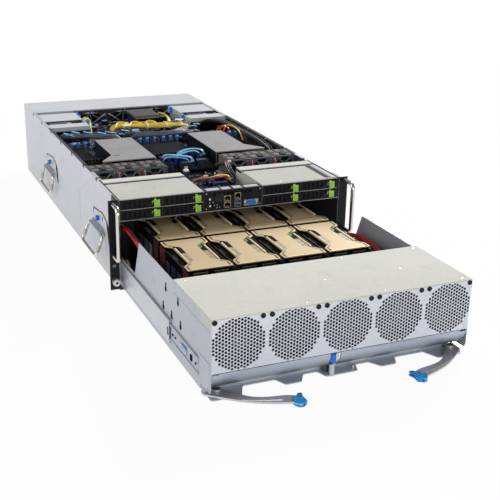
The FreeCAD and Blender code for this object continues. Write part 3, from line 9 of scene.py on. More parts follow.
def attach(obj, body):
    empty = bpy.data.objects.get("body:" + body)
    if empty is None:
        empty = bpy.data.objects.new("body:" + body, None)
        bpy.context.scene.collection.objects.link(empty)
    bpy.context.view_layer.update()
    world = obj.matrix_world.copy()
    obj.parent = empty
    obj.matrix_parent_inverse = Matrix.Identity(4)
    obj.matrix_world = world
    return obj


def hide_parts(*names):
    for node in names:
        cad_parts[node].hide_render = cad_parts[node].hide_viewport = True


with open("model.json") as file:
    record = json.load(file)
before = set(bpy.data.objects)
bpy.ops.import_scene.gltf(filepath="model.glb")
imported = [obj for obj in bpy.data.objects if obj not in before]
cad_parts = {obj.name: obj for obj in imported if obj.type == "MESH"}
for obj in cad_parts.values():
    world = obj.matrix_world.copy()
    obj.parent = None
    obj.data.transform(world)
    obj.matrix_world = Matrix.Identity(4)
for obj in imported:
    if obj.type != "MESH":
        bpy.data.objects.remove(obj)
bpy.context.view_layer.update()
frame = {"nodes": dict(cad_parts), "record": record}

# Looks of a rack server whose graphics tray is pulled out. Places are in millimetres, scene units are metres.

bl_info = {
    "name": "Rack server looks",
    "version": (1, 0, 0),
    "blender": (4, 5, 0),
    "location": "3D View > Sidebar > Server",
    "description": "Detail pieces, finishes and studio of a rack server",
    "category": "Object",
}

DRIVES = range(1, 9)
WALL_X = 224  # outer face of the chassis wall
TRAY_X = 217.5  # outer face of the tray's side wall
FACE_Y = -452  # front of the fan box
REAR_Y = 880  # rear wall
FAN_PITCH = 88
FAN_LEVEL = 89.5  # height of the tray fans' axes
BOX_TOP = 131.3  # top of the fan box
BOARD_TOP = 141.6
SHEET_TOP = 172.8  # tops of the cages' and ducts' solids
PLATE_TOP = 116  # top of the gold cover plates
MODULE_X = [-3 + (column - 1.5) * 86 for column in range(4)]
MODULE_Y = (-156, -1)
MODULE_CENTRES = [(x, y) for y in MODULE_Y for x in MODULE_X]
SCREW = (232.56, 20.8)  # axis of a thumb screw, across and up
SMALL_FAN_LEVEL = 153.1
BOTH = ((-1, "left"), (1, "right"))


# Sizes and colours that can be changed

def length(name, about, millimetres):
    return bpy.props.FloatProperty(name=name, description=about, unit="LENGTH", precision=5, min=0.0001,
                                   default=millimetres / 1000)


def linear(value):
    """Scene value of a screen colour's channel, 0 to 255."""
    value /= 255
    return value / 12.92 if value <= 0.04045 else ((value + 0.055) / 1.055) ** 2.4


def tint(name, about, red, green, blue):
    return bpy.props.FloatVectorProperty(name=name, description=about, subtype="COLOR", size=3, min=0, max=1,
                                         default=(linear(red), linear(green), linear(blue)))


class ServerSizes(bpy.types.PropertyGroup):
    """Sizes of the details."""
    grille_hole: length("Grille hole", "Diameter of a hole in the fan grilles", 4.5)
    grille_pitch: length("Grille pitch", "Distance between neighbouring grille holes", 5.6)
    grille_reach: length("Grille reach", "Distance of the outermost holes from a fan's middle", 40.7)
    rivet: length("Rivet", "Radius of a rivet head", 2.4)
    inlay: length("Inlay", "Width of the dark lines on the graphics covers", 2.0)
    yellow_lead: length("Yellow lead", "Radius of a yellow lead", 2.3)
    black_lead: length("Black lead", "Radius of a braided black lead", 2.8)


class ServerColours(bpy.types.PropertyGroup):
    """Colours of the finishes."""
    steel: tint("Steel", "Zinc coated sheet of the chassis", 205, 208, 214)
    # Painted shade: the deck sheet inside the chassis is given a near-black colour for the shade it lies in.
    deck_shade_steel: tint("Dark steel", "Sheet inside the chassis", 36, 41, 52)
    lid: tint("Lid", "Rear lid and card cage tops", 201, 204, 209)
    cream: tint("Drive cover", "Covers of the drive cages", 198, 198, 191)
    box_cover: tint("Fan box cover", "Top of the fan box", 213, 213, 205)
    box_face: tint("Fan box face", "Pierced front of the fan box", 208, 212, 220)
    tray: tint("Tray", "Sheet of the tray", 186, 191, 200)
    black: tint("Black", "Painted and moulded black parts", 13, 15, 21)
    charcoal: tint("Charcoal", "Dark grey plastic", 58, 60, 66)
    chrome: tint("Chrome", "Handles and levers", 218, 216, 210)
    board: tint("Board", "Printed circuit boards", 17, 30, 52)
    duct: tint("Air duct", "Upper skin of the air ducts", 152, 150, 150)
    fan_grey: tint("Fan grey", "Housings of the small fans", 112, 105, 100)
    gold: tint("Gold", "Cover plates of the graphics modules", 198, 175, 136)
    # Light gold also serves as painted highlight along the cover plates' edges.
    bar_gold: tint("Light gold", "Raised bars of the cover plates", 246, 224, 182)
    stripe: tint("Stripe", "Grey stripes of the cover plates", 158, 147, 120)
    copper: tint("Copper", "Sides and fins of the coolers", 88, 64, 55)
    lime: tint("Lime", "Drive latches", 164, 216, 84)
    blue: tint("Blue", "Touch points and connectors", 44, 122, 226)
    deep_blue: tint("Deep blue", "Sockets and flat connectors", 26, 56, 120)
    grip: tint("Grip", "Grips of the pull levers", 18, 160, 246)
    sky: tint("Light blue", "Flat cables and pull tabs", 134, 198, 246)
    yellow: tint("Yellow", "Power leads", 246, 212, 70)
    red: tint("Red", "Red leads and labels", 190, 34, 30)
    orange: tint("Orange", "Orange wires", 226, 110, 44)
    white: tint("White", "Tags, ties and caps", 236, 236, 232)


def sizes():
    return bpy.context.scene.server_sizes


def paint_of(name):
    return tuple(getattr(bpy.context.scene.server_colours, name))


# Shader sums

class Flow:
    """A number on a shader socket that can stand in Python sums."""

    def __init__(self, tree, socket):
        self.tree = tree
        self.socket = socket

    def work(self, operation, *values):
        node = self.tree.nodes.new("ShaderNodeMath")
        node.operation = operation
        for socket, value in zip(node.inputs, values):
            feed(self.tree, socket, value)
        return Flow(self.tree, node.outputs[0])

    def __add__(self, other):
        return self.work("ADD", self, other)

    def __sub__(self, other):
        return self.work("SUBTRACT", self, other)

    def __rsub__(self, other):
        return self.work("SUBTRACT", other, self)

    def __mul__(self, other):
        return self.work("MULTIPLY", self, other)

    __radd__ = __add__
    __rmul__ = __mul__

    def __gt__(self, other):
        return self.work("GREATER_THAN", self, other)


def feed(tree, socket, value):
    """Link a flow or an output to a socket, or write the value on it."""
    if isinstance(value, Flow):
        tree.links.new(value.socket, socket)
    elif isinstance(value, bpy.types.NodeSocket):
        tree.links.new(value, socket)
    else:
        socket.default_value = value


class Finish:
    """A material built node by node round one surface shader."""

    def __init__(self, name, **constants):
        self.material = bpy.data.materials.new("dressed_" + name)
        self.material.use_nodes = True
        self.tree = self.material.node_tree
        self.shader = self.tree.nodes["Principled BSDF"]
        for words, value in constants.items():
            self.shader.inputs[words.replace("_", " ").title().replace("Ior", "IOR")].default_value = value
        self.place = self.add("ShaderNodeTexCoord").outputs["Object"]

    def add(self, kind, settings=(), values=()):
        node = self.tree.nodes.new(kind)
        for key, value in dict(settings).items():
            setattr(node, key, value)
        for key, value in dict(values).items():
            feed(self.tree, node.inputs[key], value)
        return node

    def stretched(self, scale, turn=(0, 0, 0)):
        return self.add("ShaderNodeMapping", {}, {"Vector": self.place, "Scale": scale, "Rotation": turn}).outputs[0]

    def noise(self, scale, detail=2.0, stretch=(1, 1, 1)):
        values = {"Vector": self.stretched(stretch), "Scale": scale, "Detail": detail}
        return Flow(self.tree, self.add("ShaderNodeTexNoise", {}, values).outputs[0])

    def cells(self, scale, feature="F1", stretch=(1, 1, 1), output=0):
        values = {"Vector": self.stretched(stretch), "Scale": scale}
        return Flow(self.tree, self.add("ShaderNodeTexVoronoi", {"feature": feature}, values).outputs[output])

    def ramp(self, flow, low, high):
        """0 below one level, 1 above another, smooth between."""
        values = {0: flow, 1: low, 2: high}
        node = self.add("ShaderNodeMapRange", {"interpolation_type": "SMOOTHSTEP"}, values)
        return Flow(self.tree, node.outputs[0])

    def mix(self, share, first, second):
        values = {0: share, 6: first, 7: second}
        return self.add("ShaderNodeMix", {"data_type": "RGBA"}, values).outputs[2]

    def shades(self, share, colour, dark, light):
        """One colour between a darker and a lighter shade of itself."""
        return self.mix(share, shade(colour, dark), shade(colour, light))

    def set(self, **links):
        for words, value in links.items():
            feed(self.tree, self.shader.inputs[words.replace("_", " ").title()], value)

    def relief(self, height, depth, strength=1.0):
        """Bumps of a real depth in millimetres."""
        values = {"Height": height, "Distance": depth / 1000, "Strength": strength}
        feed(self.tree, self.shader.inputs["Normal"], self.add("ShaderNodeBump", {}, values).outputs[0])


def shade(colour, factor):
    return (*(min(1, channel * factor) for channel in colour), 1)


# Finishes

def sheet_metal(name, colour, rough=0.42, metal=0.55, grain=(1, 14, 14), painted_shade=None):
    """Zinc coated or painted sheet: soft patches, fine rolling lines and faint handling marks.

    The last argument gives the share of painted shade at a place: sheet inside the case is painted dark to stand for
    the shade it lies in.
    """
    finish = Finish(name, specular_ior_level=0.5 if metal > 0.3 else 0.05)
    patches = finish.noise(11, 4)
    lines = finish.noise(90, 3, grain)
    marks = finish.ramp(finish.noise(34, 6), 0.56, 0.74)
    spangle = finish.cells(160, output=0)
    base = finish.shades(patches * 0.6 + lines * 0.25 + spangle * 0.3, colour, 0.86, 1.1)
    base = finish.mix(marks * 0.12, base, shade(colour, 0.62))
    if painted_shade:
        across, along, height = (Flow(finish.tree, way) for way in finish.add(
            "ShaderNodeSeparateXYZ", {}, {0: finish.place}).outputs)
        # Painted shade: the colour is pulled towards near black where the sheet lies in shade inside the case.
        base = finish.mix(painted_shade(finish, across, along, height) * 0.88, base, shade(colour, 0.04))
    finish.set(base_color=base, metallic=metal,
               roughness=patches * 0.16 + lines * 0.12 + marks * 0.1 + (rough - 0.14))
    finish.relief(lines * 0.6 + patches * 0.4, 0.05, 0.35)
    return finish.material


def painted_shade_inside_chassis(finish, across, along, height):
    """1 where shade is painted: on the inner sides of the chassis and on its side flanges."""
    flange = (along > 0.192) * (1 - (along > 0.586))
    outside = across.work("ABSOLUTE", across) > 0.2236
    return (1 - outside) * (1 - (along > 0.87)) * (1 - (height > 0.1732) * (1 - flange))


def painted_shade_inside_tray(finish, across, along, height):
    """1 where shade is painted: on the tray's inner sides behind the fan box, save for the right wall."""
    return (across > -0.2155) * (1 - (across > 0.19)) * (along > -0.23)


def painted_shade_valance_foot(finish, across, along, height):
    """Painted shade that rises from the valance's head to its foot."""
    return 1 - finish.ramp(height, 0.016, 0.046)


def bright_metal(name, colour, rough=0.16, metal=1.0, grain=(30, 1, 30)):
    """Polished or brushed bar stock."""
    finish = Finish(name)
    lines = finish.noise(120, 3, grain)
    patches = finish.noise(26, 3)
    finish.set(base_color=finish.shades(patches * 0.7 + lines * 0.3, colour, 0.82, 1.08), metallic=metal,
               roughness=lines * 0.14 + patches * 0.08 + (rough - 0.08))
    finish.relief(lines, 0.02, 0.3)
    return finish.material


def moulded(name, colour, rough=0.48, coat=0.0, grain=900, gloss=0.25):
    """Moulded or powder coated surface with a fine texture and rubbed patches."""
    finish = Finish(name, coat_weight=coat, coat_roughness=0.2, specular_ior_level=gloss)
    texture = finish.noise(grain, 2)
    patches = finish.noise(38, 4)
    dust = finish.ramp(finish.noise(75, 5), 0.55, 0.8)
    base = finish.shades(patches, colour, 0.8, 1.18)
    finish.set(base_color=finish.mix(dust * 0.08, base, shade(colour, 2.4)),
               roughness=texture * 0.12 + patches * 0.14 + (rough - 0.1))
    finish.relief(texture, 0.05, 0.4)
    return finish.material


def circuit_board(name, colour):
    """Solder mask over tracks, with tinned pads and small parts' shadows."""
    finish = Finish(name, coat_weight=0.25, coat_roughness=0.25)
    tracks = finish.ramp(finish.cells(150, "DISTANCE_TO_EDGE", (1, 0.35, 1)), 0.02, 0.06)
    crossing = finish.ramp(finish.cells(110, "DISTANCE_TO_EDGE", (0.3, 1, 1)), 0.02, 0.05)
    pads = 1 - finish.ramp(finish.cells(260), 0.16, 0.24)
    parts = finish.ramp(finish.cells(120, output=0, stretch=(1, 1.6, 1)), 0.2, 0.3)
    patches = finish.noise(20, 3)
    mask = finish.mix(tracks * crossing, shade(colour, 1.9), shade(colour, 0.85))
    mask = finish.mix((1 - parts) * 0.8, mask, shade(colour, 0.3))
    finish.set(base_color=finish.mix(pads * (patches > 0.5) * 0.9, mask, (0.55, 0.42, 0.16, 1)),
               roughness=0.3 + tracks * 0.2,
               metallic=pads * 0.6)
    finish.relief(tracks + crossing, 0.06, 0.5)
    return finish.material


def braided(name, colour, light=1.7):
    """Cable sleeve: two sets of crossing threads."""
    finish = Finish(name, sheen_weight=0.2)
    threads = []
    for turn in (0.9, -0.9):
        vector = finish.stretched((1, 1, 1), (0.4, turn, turn))
        wave = finish.add("ShaderNodeTexWave", {"wave_type": "BANDS"}, {"Vector": vector, "Scale": 1400 / 6.3})
        threads.append(Flow(finish.tree, wave.outputs[1]))
    weave = threads[0] * threads[1]
    patches = finish.noise(60, 3)
    finish.set(base_color=finish.shades(weave * 0.7 + patches * 0.3, colour, 0.6, light),
               roughness=0.5 + weave * 0.25)
    finish.relief(weave, 0.15, 0.5)
    return finish.material


def glossy_lead(name, colour, rough=0.36):
    """Plain plastic jacket with slight waves and dust."""
    finish = Finish(name, coat_weight=0.15)
    patches = finish.noise(55, 4)
    ripples = finish.noise(300, 2)
    finish.set(base_color=finish.shades(patches, colour, 0.78, 1.12),
               roughness=patches * 0.15 + ripples * 0.1 + (rough - 0.1))
    finish.relief(ripples, 0.08, 0.4)
    return finish.material


def brushed_gold(name, colour):
    """Anodised plate, brushed along its length."""
    finish = Finish(name, specular_ior_level=0.35)
    lines = finish.noise(150, 3, (14, 1, 14))
    patches = finish.noise(16, 3)
    finish.set(base_color=finish.shades(lines * 0.45 + patches * 0.55, colour, 0.86, 1.08), metallic=0.25,
               roughness=0.5 + lines * 0.16)
    finish.relief(lines, 0.02, 0.4)
    return finish.material


def ribbed(name, colour, pitch=1.4, axis=0, metal=0.0, rough=0.5, low=0.35):
    """Surface with close parallel ribs, as a block of thin fins shows; the darker troughs between the ribs are
    painted shade.
    """
    finish = Finish(name, metallic=metal)
    wave = finish.add("ShaderNodeTexWave", {"wave_type": "BANDS", "bands_direction": "XYZ"[axis]},
                      {"Vector": finish.place, "Scale": 50 / pitch})
    ribs = Flow(finish.tree, wave.outputs[1])
    patches = finish.noise(40, 3)
    # Troughs are darkened to the low share: painted shade between the ribs.
    finish.set(base_color=finish.shades(ribs * 0.8 + patches * 0.2, colour, low, 1.15),
               roughness=patches * 0.2 + (rough - 0.1))
    finish.relief(ribs, 0.4, 0.6)
    return finish.material


UP, LONG = (1, 14, 14), (14, 1, 14)  # stretch of the grain: lines that run upright, or across the top
RECIPES = {
    "chassis_steel": (sheet_metal, "steel", 0.44, 0.4, UP, painted_shade_inside_chassis),
    "deck_steel": (sheet_metal, "deck_shade_steel", 0.5, 0.5),
    "lid_steel": (sheet_metal, "lid", 0.62, 0, LONG),
    "cream_paint": (sheet_metal, "cream", 0.72, 0, LONG),
    "ear_black": (moulded, "black", 0.42),
    "chrome_bar": (bright_metal, "chrome"),
    "panel_black": (moulded, "black", 0.4),
    "button_white": (moulded, "white", 0.4, 0.2),
    "board_green": (circuit_board, "board"),
    "socket_black": (ribbed, "charcoal", 7, 1, 0, 0.5, 0.5),
    "duct_plastic": (moulded, "duct", 0.55, 0, 500),
    "small_fan_plastic": (moulded, "fan_grey", 0.5),
    "card_steel": (sheet_metal, "lid", 0.4, 0.15, LONG),
    "supply_case": (sheet_metal, "tray", 0.4, 0.6),
    "cable_yellow": (glossy_lead, "yellow"),
    "cable_black": (braided, "black"),
    "cable_red": (glossy_lead, "red"),
    "rail_steel": (bright_metal, "steel", 0.34, 0.8),
    "bracket_steel": (sheet_metal, "tray", 0.34, 0.6),
    "tray_steel": (sheet_metal, "tray", 0.4, 0.5, UP, painted_shade_inside_tray),
    "fan_frame_black": (moulded, "black", 0.45),
    "rotor_black": (moulded, "charcoal", 0.35),
    "cooler_metal": (ribbed, "copper", 2.2, 2, 0.6, 0.4),
    "cover_gold": (brushed_gold, "gold"),
    "lever_steel": (bright_metal, (0.62, 0.62, 0.64), 0.36, 0.6),
    "grip_blue": (moulded, "grip", 0.34, 0.3),
    "latch_green": (moulded, "lime", 0.3, 0.3),
    "carrier_black": (moulded, "black", 0.45),
    "lock_blue": (moulded, "blue", 0.34, 0.2),
    "box_cover": (sheet_metal, "box_cover", 0.75, 0, LONG),
    "box_face": (sheet_metal, "box_face", 0.44, 0.2, UP),
    "bar_gold": (brushed_gold, "bar_gold"),
    "stripe_grey": (ribbed, "stripe", 2.4, 1, 0.2, 0.5, 0.8),
    "slot_black": (moulded, (0.003, 0.003, 0.004), 0.8, 0.0, 900, 0.06),
    "patch_green": (circuit_board, (0.06, 0.2, 0.02)),
    "cooler_side": (ribbed, "copper", 3.2, 2, 0.5, 0.45, 0.5),
    "block_grey": (moulded, (0.085, 0.105, 0.15), 0.36, 0.2),
    "fin_light": (bright_metal, (0.3, 0.3, 0.31), 0.4, 0.4),
    "charcoal": (moulded, "charcoal", 0.5),
    "part_black": (moulded, "black", 0.35, 0.1),
    "tin": (bright_metal, "chrome", 0.26, 0.9),
    # Beige metal: the colour of contacts and trims; on the bails and the lever grips it is painted highlight.
    "beige_rim": (bright_metal, (0.52, 0.46, 0.36), 0.3, 0.8),
    "socket_blue": (moulded, "deep_blue", 0.35, 0.2),
    "clip_blue": (moulded, "blue", 0.34, 0.2),
    "ribbon_sky": (glossy_lead, "sky", 0.26),
    "tag_white": (moulded, "white", 0.5),
    "wire_orange": (glossy_lead, "orange"),
    "wire_violet": (glossy_lead, (0.13, 0.07, 0.3)),
    "lead_blue": (braided, (0.016, 0.024, 0.045), 3.2),
    "steel_dark": (sheet_metal, (0.05, 0.06, 0.08), 0.45, 0.5),
    "valance_steel": (sheet_metal, (0.46, 0.51, 0.6), 0.46, 0.4, UP, painted_shade_valance_foot),
    "lip_steel": (sheet_metal, (0.54, 0.6, 0.7), 0.42, 0.15, LONG),
    "label_red": (moulded, (0.13, 0.012, 0.012), 0.45),
}
DARK_BUTTONS = {"power_button": "part_black", "id_button": "part_black"}


def finish_for(name):
    """The material of a recipe, made when it is first asked for."""
    made = bpy.data.materials.get("dressed_" + name)
    if made:
        return made
    make, colour, *rest = RECIPES[name]
    return make(name, paint_of(colour) if isinstance(colour, str) else colour, *rest)


# Modelling steps

def at(x, y, z):
    return Vector((x, y, z)) / 1000


def take(*pieces):
    """Select these objects alone."""
    bpy.ops.object.select_all(action="DESELECT")
    for piece in pieces:
        piece.select_set(True)
    bpy.context.view_layer.objects.active = pieces[0]


def settle(finish):
    """Bake the place of the active object into its mesh and give it a finish."""
    piece = bpy.context.object
    bpy.ops.object.transform_apply(location=True, rotation=True, scale=True)
    piece.data.materials.clear()
    piece.data.materials.append(finish_for(finish))
    return piece


def round_edges(piece, edge, steps=1, angle=30):
    take(piece)
    bevel = piece.modifiers.new("edges", "BEVEL")
    bevel.width = edge / 1000
    bevel.segments = steps
    bevel.limit_method = "ANGLE"
    bevel.angle_limit = math.radians(angle)
    bpy.ops.object.modifier_apply(modifier="edges")
    return piece


def block(finish, low, high, edge=0.3, steps=1):
    """Rectangular part between two corners, its edges rounded."""
    bpy.ops.object.select_all(action="DESELECT")
    bpy.ops.mesh.primitive_cube_add(size=1, location=at(*((a + b) / 2 for a, b in zip(low, high))),
                                    scale=at(*(b - a for a, b in zip(low, high))))
    piece = settle(finish)
    return round_edges(piece, edge, steps) if edge else piece


AXES = {"x": Vector((1, 0, 0)), "y": Vector((0, 1, 0)), "z": Vector((0, 0, 1))}
TURNS = {"x": (0, math.pi / 2, 0), "y": (-math.pi / 2, 0, 0), "z": (0, 0, 0)}


def drum(finish, centre, radius, height, axis="z", sides=24, edge=0.3, top=None):
    """Round part standing on a centre along an axis, tapered when a top radius is given."""
    bpy.ops.object.select_all(action="DESELECT")
    shift = AXES[axis] * height / 2
    bpy.ops.mesh.primitive_cone_add(vertices=sides, radius1=radius / 1000,
                                    radius2=(radius if top is None else top) / 1000, depth=height / 1000,
                                    location=at(*(Vector(centre) + shift)), rotation=TURNS[axis])
    piece = settle(finish)
    if edge:
        round_edges(piece, edge, 1, 50)
    bpy.ops.object.shade_smooth_by_angle(angle=math.radians(35))
    return piece


def ring(finish, centre, radius, wire, axis="z", sides=36, round_sides=8):
    bpy.ops.object.select_all(action="DESELECT")
    bpy.ops.mesh.primitive_torus_add(location=at(*centre), rotation=TURNS[axis], major_segments=sides,
                                     minor_segments=round_sides, major_radius=radius / 1000,
                                     minor_radius=wire / 1000)
    piece = settle(finish)
    bpy.ops.object.shade_smooth()
    return piece


def plate(finish, outline, low, high, axis="z", edge=0.0, steps=1):
    """Flat outline pushed from one level to another along an axis; its corners go round the axis."""
    bpy.ops.object.select_all(action="DESELECT")
    bpy.ops.mesh.primitive_circle_add(vertices=len(outline), radius=1, fill_type="NGON")
    piece = bpy.context.object
    order = {"z": lambda u, v: (u, v, low), "y": lambda u, v: (u, low, v), "x": lambda u, v: (low, u, v)}[axis]
    for vertex, (u, v) in zip(piece.data.vertices, outline):
        vertex.co = at(*order(u, v))
    bpy.ops.object.mode_set(mode="EDIT")
    bpy.ops.mesh.select_all(action="SELECT")
    shift = AXES[axis] * (high - low) / 1000
    bpy.ops.mesh.extrude_region_move(TRANSFORM_OT_translate={"value": shift})
    bpy.ops.mesh.select_all(action="SELECT")
    bpy.ops.mesh.normals_make_consistent(inside=False)
    bpy.ops.object.mode_set(mode="OBJECT")
    settle(finish)
    if edge:
        round_edges(piece, edge, steps)
    bpy.ops.object.shade_smooth_by_angle(angle=math.radians(32))
    return piece


def copies(piece, *offsets):
    """The piece and its copies at offsets in millimetres, each with its own mesh."""
    made = [piece]
    for offset in offsets:
        twin = piece.copy()
        twin.data = piece.data.copy()
        twin.data.transform(Matrix.Translation(at(*offset)))
        bpy.context.scene.collection.objects.link(twin)
        made.append(twin)
    return made


def mirrored(piece):
    """A copy on the other side of the middle plane."""
    twin = piece.copy()
    twin.data = piece.data.copy()
    twin.data.transform(Matrix.Scale(-1, 4, (1, 0, 0)))
    twin.data.flip_normals()
    bpy.context.scene.collection.objects.link(twin)
    return twin


def on_side(piece, side):
    """The piece for the right side; for the left its mirror image, which takes its place."""
    if side > 0:
        return piece
    twin = mirrored(piece)
    bpy.data.objects.remove(piece)
    return twin


def series(piece, count, step):
    """A piece and its followers, a step apart."""
    return copies(piece, *([k * part for part in step] for k in range(1, count)))


def blocks(*rows):
    """A block for each row of its values."""
    return [block(*values) for values in rows]


def span(side, near, far):
    """Low and high place across of something between two distances from the middle plane."""
    return sorted((side * near, side * far))


def sided(outline, side):
    """An outline of the right side, on either side, with its corners in the same turn."""
    return [(side * x, y) for x, y in outline][::side]


def joined(name, pieces):
    take(*pieces)
    if len(pieces) > 1:
        bpy.ops.object.join()
    pieces[0].name = name
    return pieces[0]


def hang(name, pieces, body, replaces=()):
    """Join parts into one named piece that rides on a body."""
    piece = joined(name, list(pieces))
    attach(piece, body)
    if replaces:
        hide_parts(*replaces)
    return piece


def draw_line(curve, route, tilt=0.0):
    """Smooth line of a curve through guide points."""
    spline = curve.splines.new("NURBS")
    spline.points.add(len(route) - 1)
    for point, spot in zip(spline.points, route):
        point.co = (*at(*spot), 1)
        point.tilt = tilt
    spline.order_u = 3
    spline.use_endpoint_u = True


def leads(name, finish, routes, radius, body, replaces=()):
    """Smooth leads through their guide points, as one curve object."""
    curve = bpy.data.curves.new(name, "CURVE")
    curve.dimensions = "3D"
    curve.bevel_depth = radius / 1000
    curve.bevel_resolution = 2
    curve.resolution_u = 8
    curve.use_fill_caps = True
    for route in routes:
        draw_line(curve, route)
    curve.materials.append(finish_for(finish))
    piece = bpy.data.objects.new(name, curve)
    bpy.context.scene.collection.objects.link(piece)
    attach(piece, body)
    if replaces:
        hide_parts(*replaces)


def rivets(finish, places, axis="z", radius=None, height=0.9):
    """Low domed heads at places on a sheet."""
    radius = radius or sizes().rivet * 1000
    first = drum(finish, places[0], radius, abs(height), axis, 14, min(0.4, radius / 3), radius * 0.72)
    if height < 0:
        first.data.transform(Matrix.Translation(at(*AXES[axis] * height)))
    start = Vector(places[0])
    return copies(first, *(Vector(place) - start for place in places[1:]))


class ServerPiece(bpy.types.Operator):
    """Base of the operators of this file."""
    bl_options = {"REGISTER", "UNDO"}

    def execute(self, context):
        self.make()
        return {"FINISHED"}


# Studio

class ServerStudio(ServerPiece):
    """Camera at the photograph's angle, pale floor, soft lamps and white surroundings."""
    bl_idname = "server.studio"
    bl_label = "Studio"

    def make(self):
        self.camera()
        self.floor()
        self.lamps()
        self.surroundings()

    def camera(self):
        azimuth, height, roll = (math.radians(angle) for angle in (-23.63, 20.4, 1.2))
        back = Vector((math.sin(azimuth) * math.cos(height), -math.cos(azimuth) * math.cos(height), math.sin(height)))
        right = Vector((0, 0, 1)).cross(back).normalized()
        above = back.cross(right)
        across = right * math.cos(roll) + above * math.sin(roll)
        upward = above * math.cos(roll) - right * math.sin(roll)
        bpy.ops.object.camera_add()
        camera = bpy.context.object
        camera.matrix_world = Matrix.Translation(at(-646.2, -1559.4, 678.5)) @ Matrix(
            (across, upward, back)).transposed().to_4x4()
        camera.data.lens = 67.75
        camera.data.sensor_width = 36
        camera.data.clip_end = 60
        bpy.context.scene.camera = camera
        bpy.context.scene.view_settings.view_transform = "Standard"

    def floor(self):
        bpy.ops.mesh.primitive_plane_add(size=40, location=at(0, 0, -0.4))
        floor = bpy.context.object
        floor.name = "floor"
        finish = Finish("pale_floor", roughness=0.9, base_color=(0.86, 0.86, 0.87, 1))
        white = finish.add("ShaderNodeEmission", {}, {"Color": (1, 1, 1, 1), "Strength": 1.0}).outputs[0]
        rays = finish.add("ShaderNodeLightPath").outputs
        seen = Flow(finish.tree, rays["Is Camera Ray"]) + Flow(finish.tree, rays["Is Glossy Ray"])
        share = (seen + Flow(finish.tree, rays["Is Transmission Ray"])) * 0.95
        mixed = finish.add("ShaderNodeMixShader", {}, {0: share, 1: finish.shader.outputs[0], 2: white}).outputs[0]
        feed(finish.tree, finish.tree.nodes["Material Output"].inputs["Surface"], mixed)
        floor.data.materials.append(finish.material)

    def lamps(self):
        for name, spot, aim, power, wide in (("top_lamp", (6650, 5900, 4480), (0, 0, 100), 1360, 2.6),
                                             ("front_lamp", (-200, -3000, 600), (0, -450, 60), 37, 1.3),
                                             ("side_lamp", (-2200, 500, 900), (0, 200, 60), 19, 1.2)):
            bpy.ops.object.light_add(type="AREA", location=at(*spot))
            lamp = bpy.context.object
            lamp.name = name
            lamp.data.energy = power
            lamp.data.size = wide
            lamp.rotation_euler = (at(*aim) - at(*spot)).to_track_quat("-Z", "Y").to_euler()

    def surroundings(self):
        world = bpy.data.worlds.new("soft_room")
        bpy.context.scene.world = world
        world.use_nodes = True
        tree = world.node_tree
        rays = tree.nodes.new("ShaderNodeLightPath").outputs
        seen = Flow(tree, rays["Is Camera Ray"]) + Flow(tree, rays["Is Transmission Ray"])
        shell = tree.nodes["Background"]
        shell.inputs["Color"].default_value = (1, 1, 1, 1)
        feed(tree, shell.inputs["Strength"], seen.work("MINIMUM", seen, 1) * 0.75 + 0.25)


# Finishes of the frame's own nodes

class ServerFinishes(ServerPiece):
    """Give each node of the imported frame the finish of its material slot."""
    bl_idname = "server.finishes"
    bl_label = "Node finishes"

    def make(self):
        for part in frame["record"]["subparts"]:
            for place in frame["nodes"][part["node"]].material_slots:
                place.material = finish_for(DARK_BUTTONS.get(part["node"], part["material_slot"]))


# Fan box of the tray

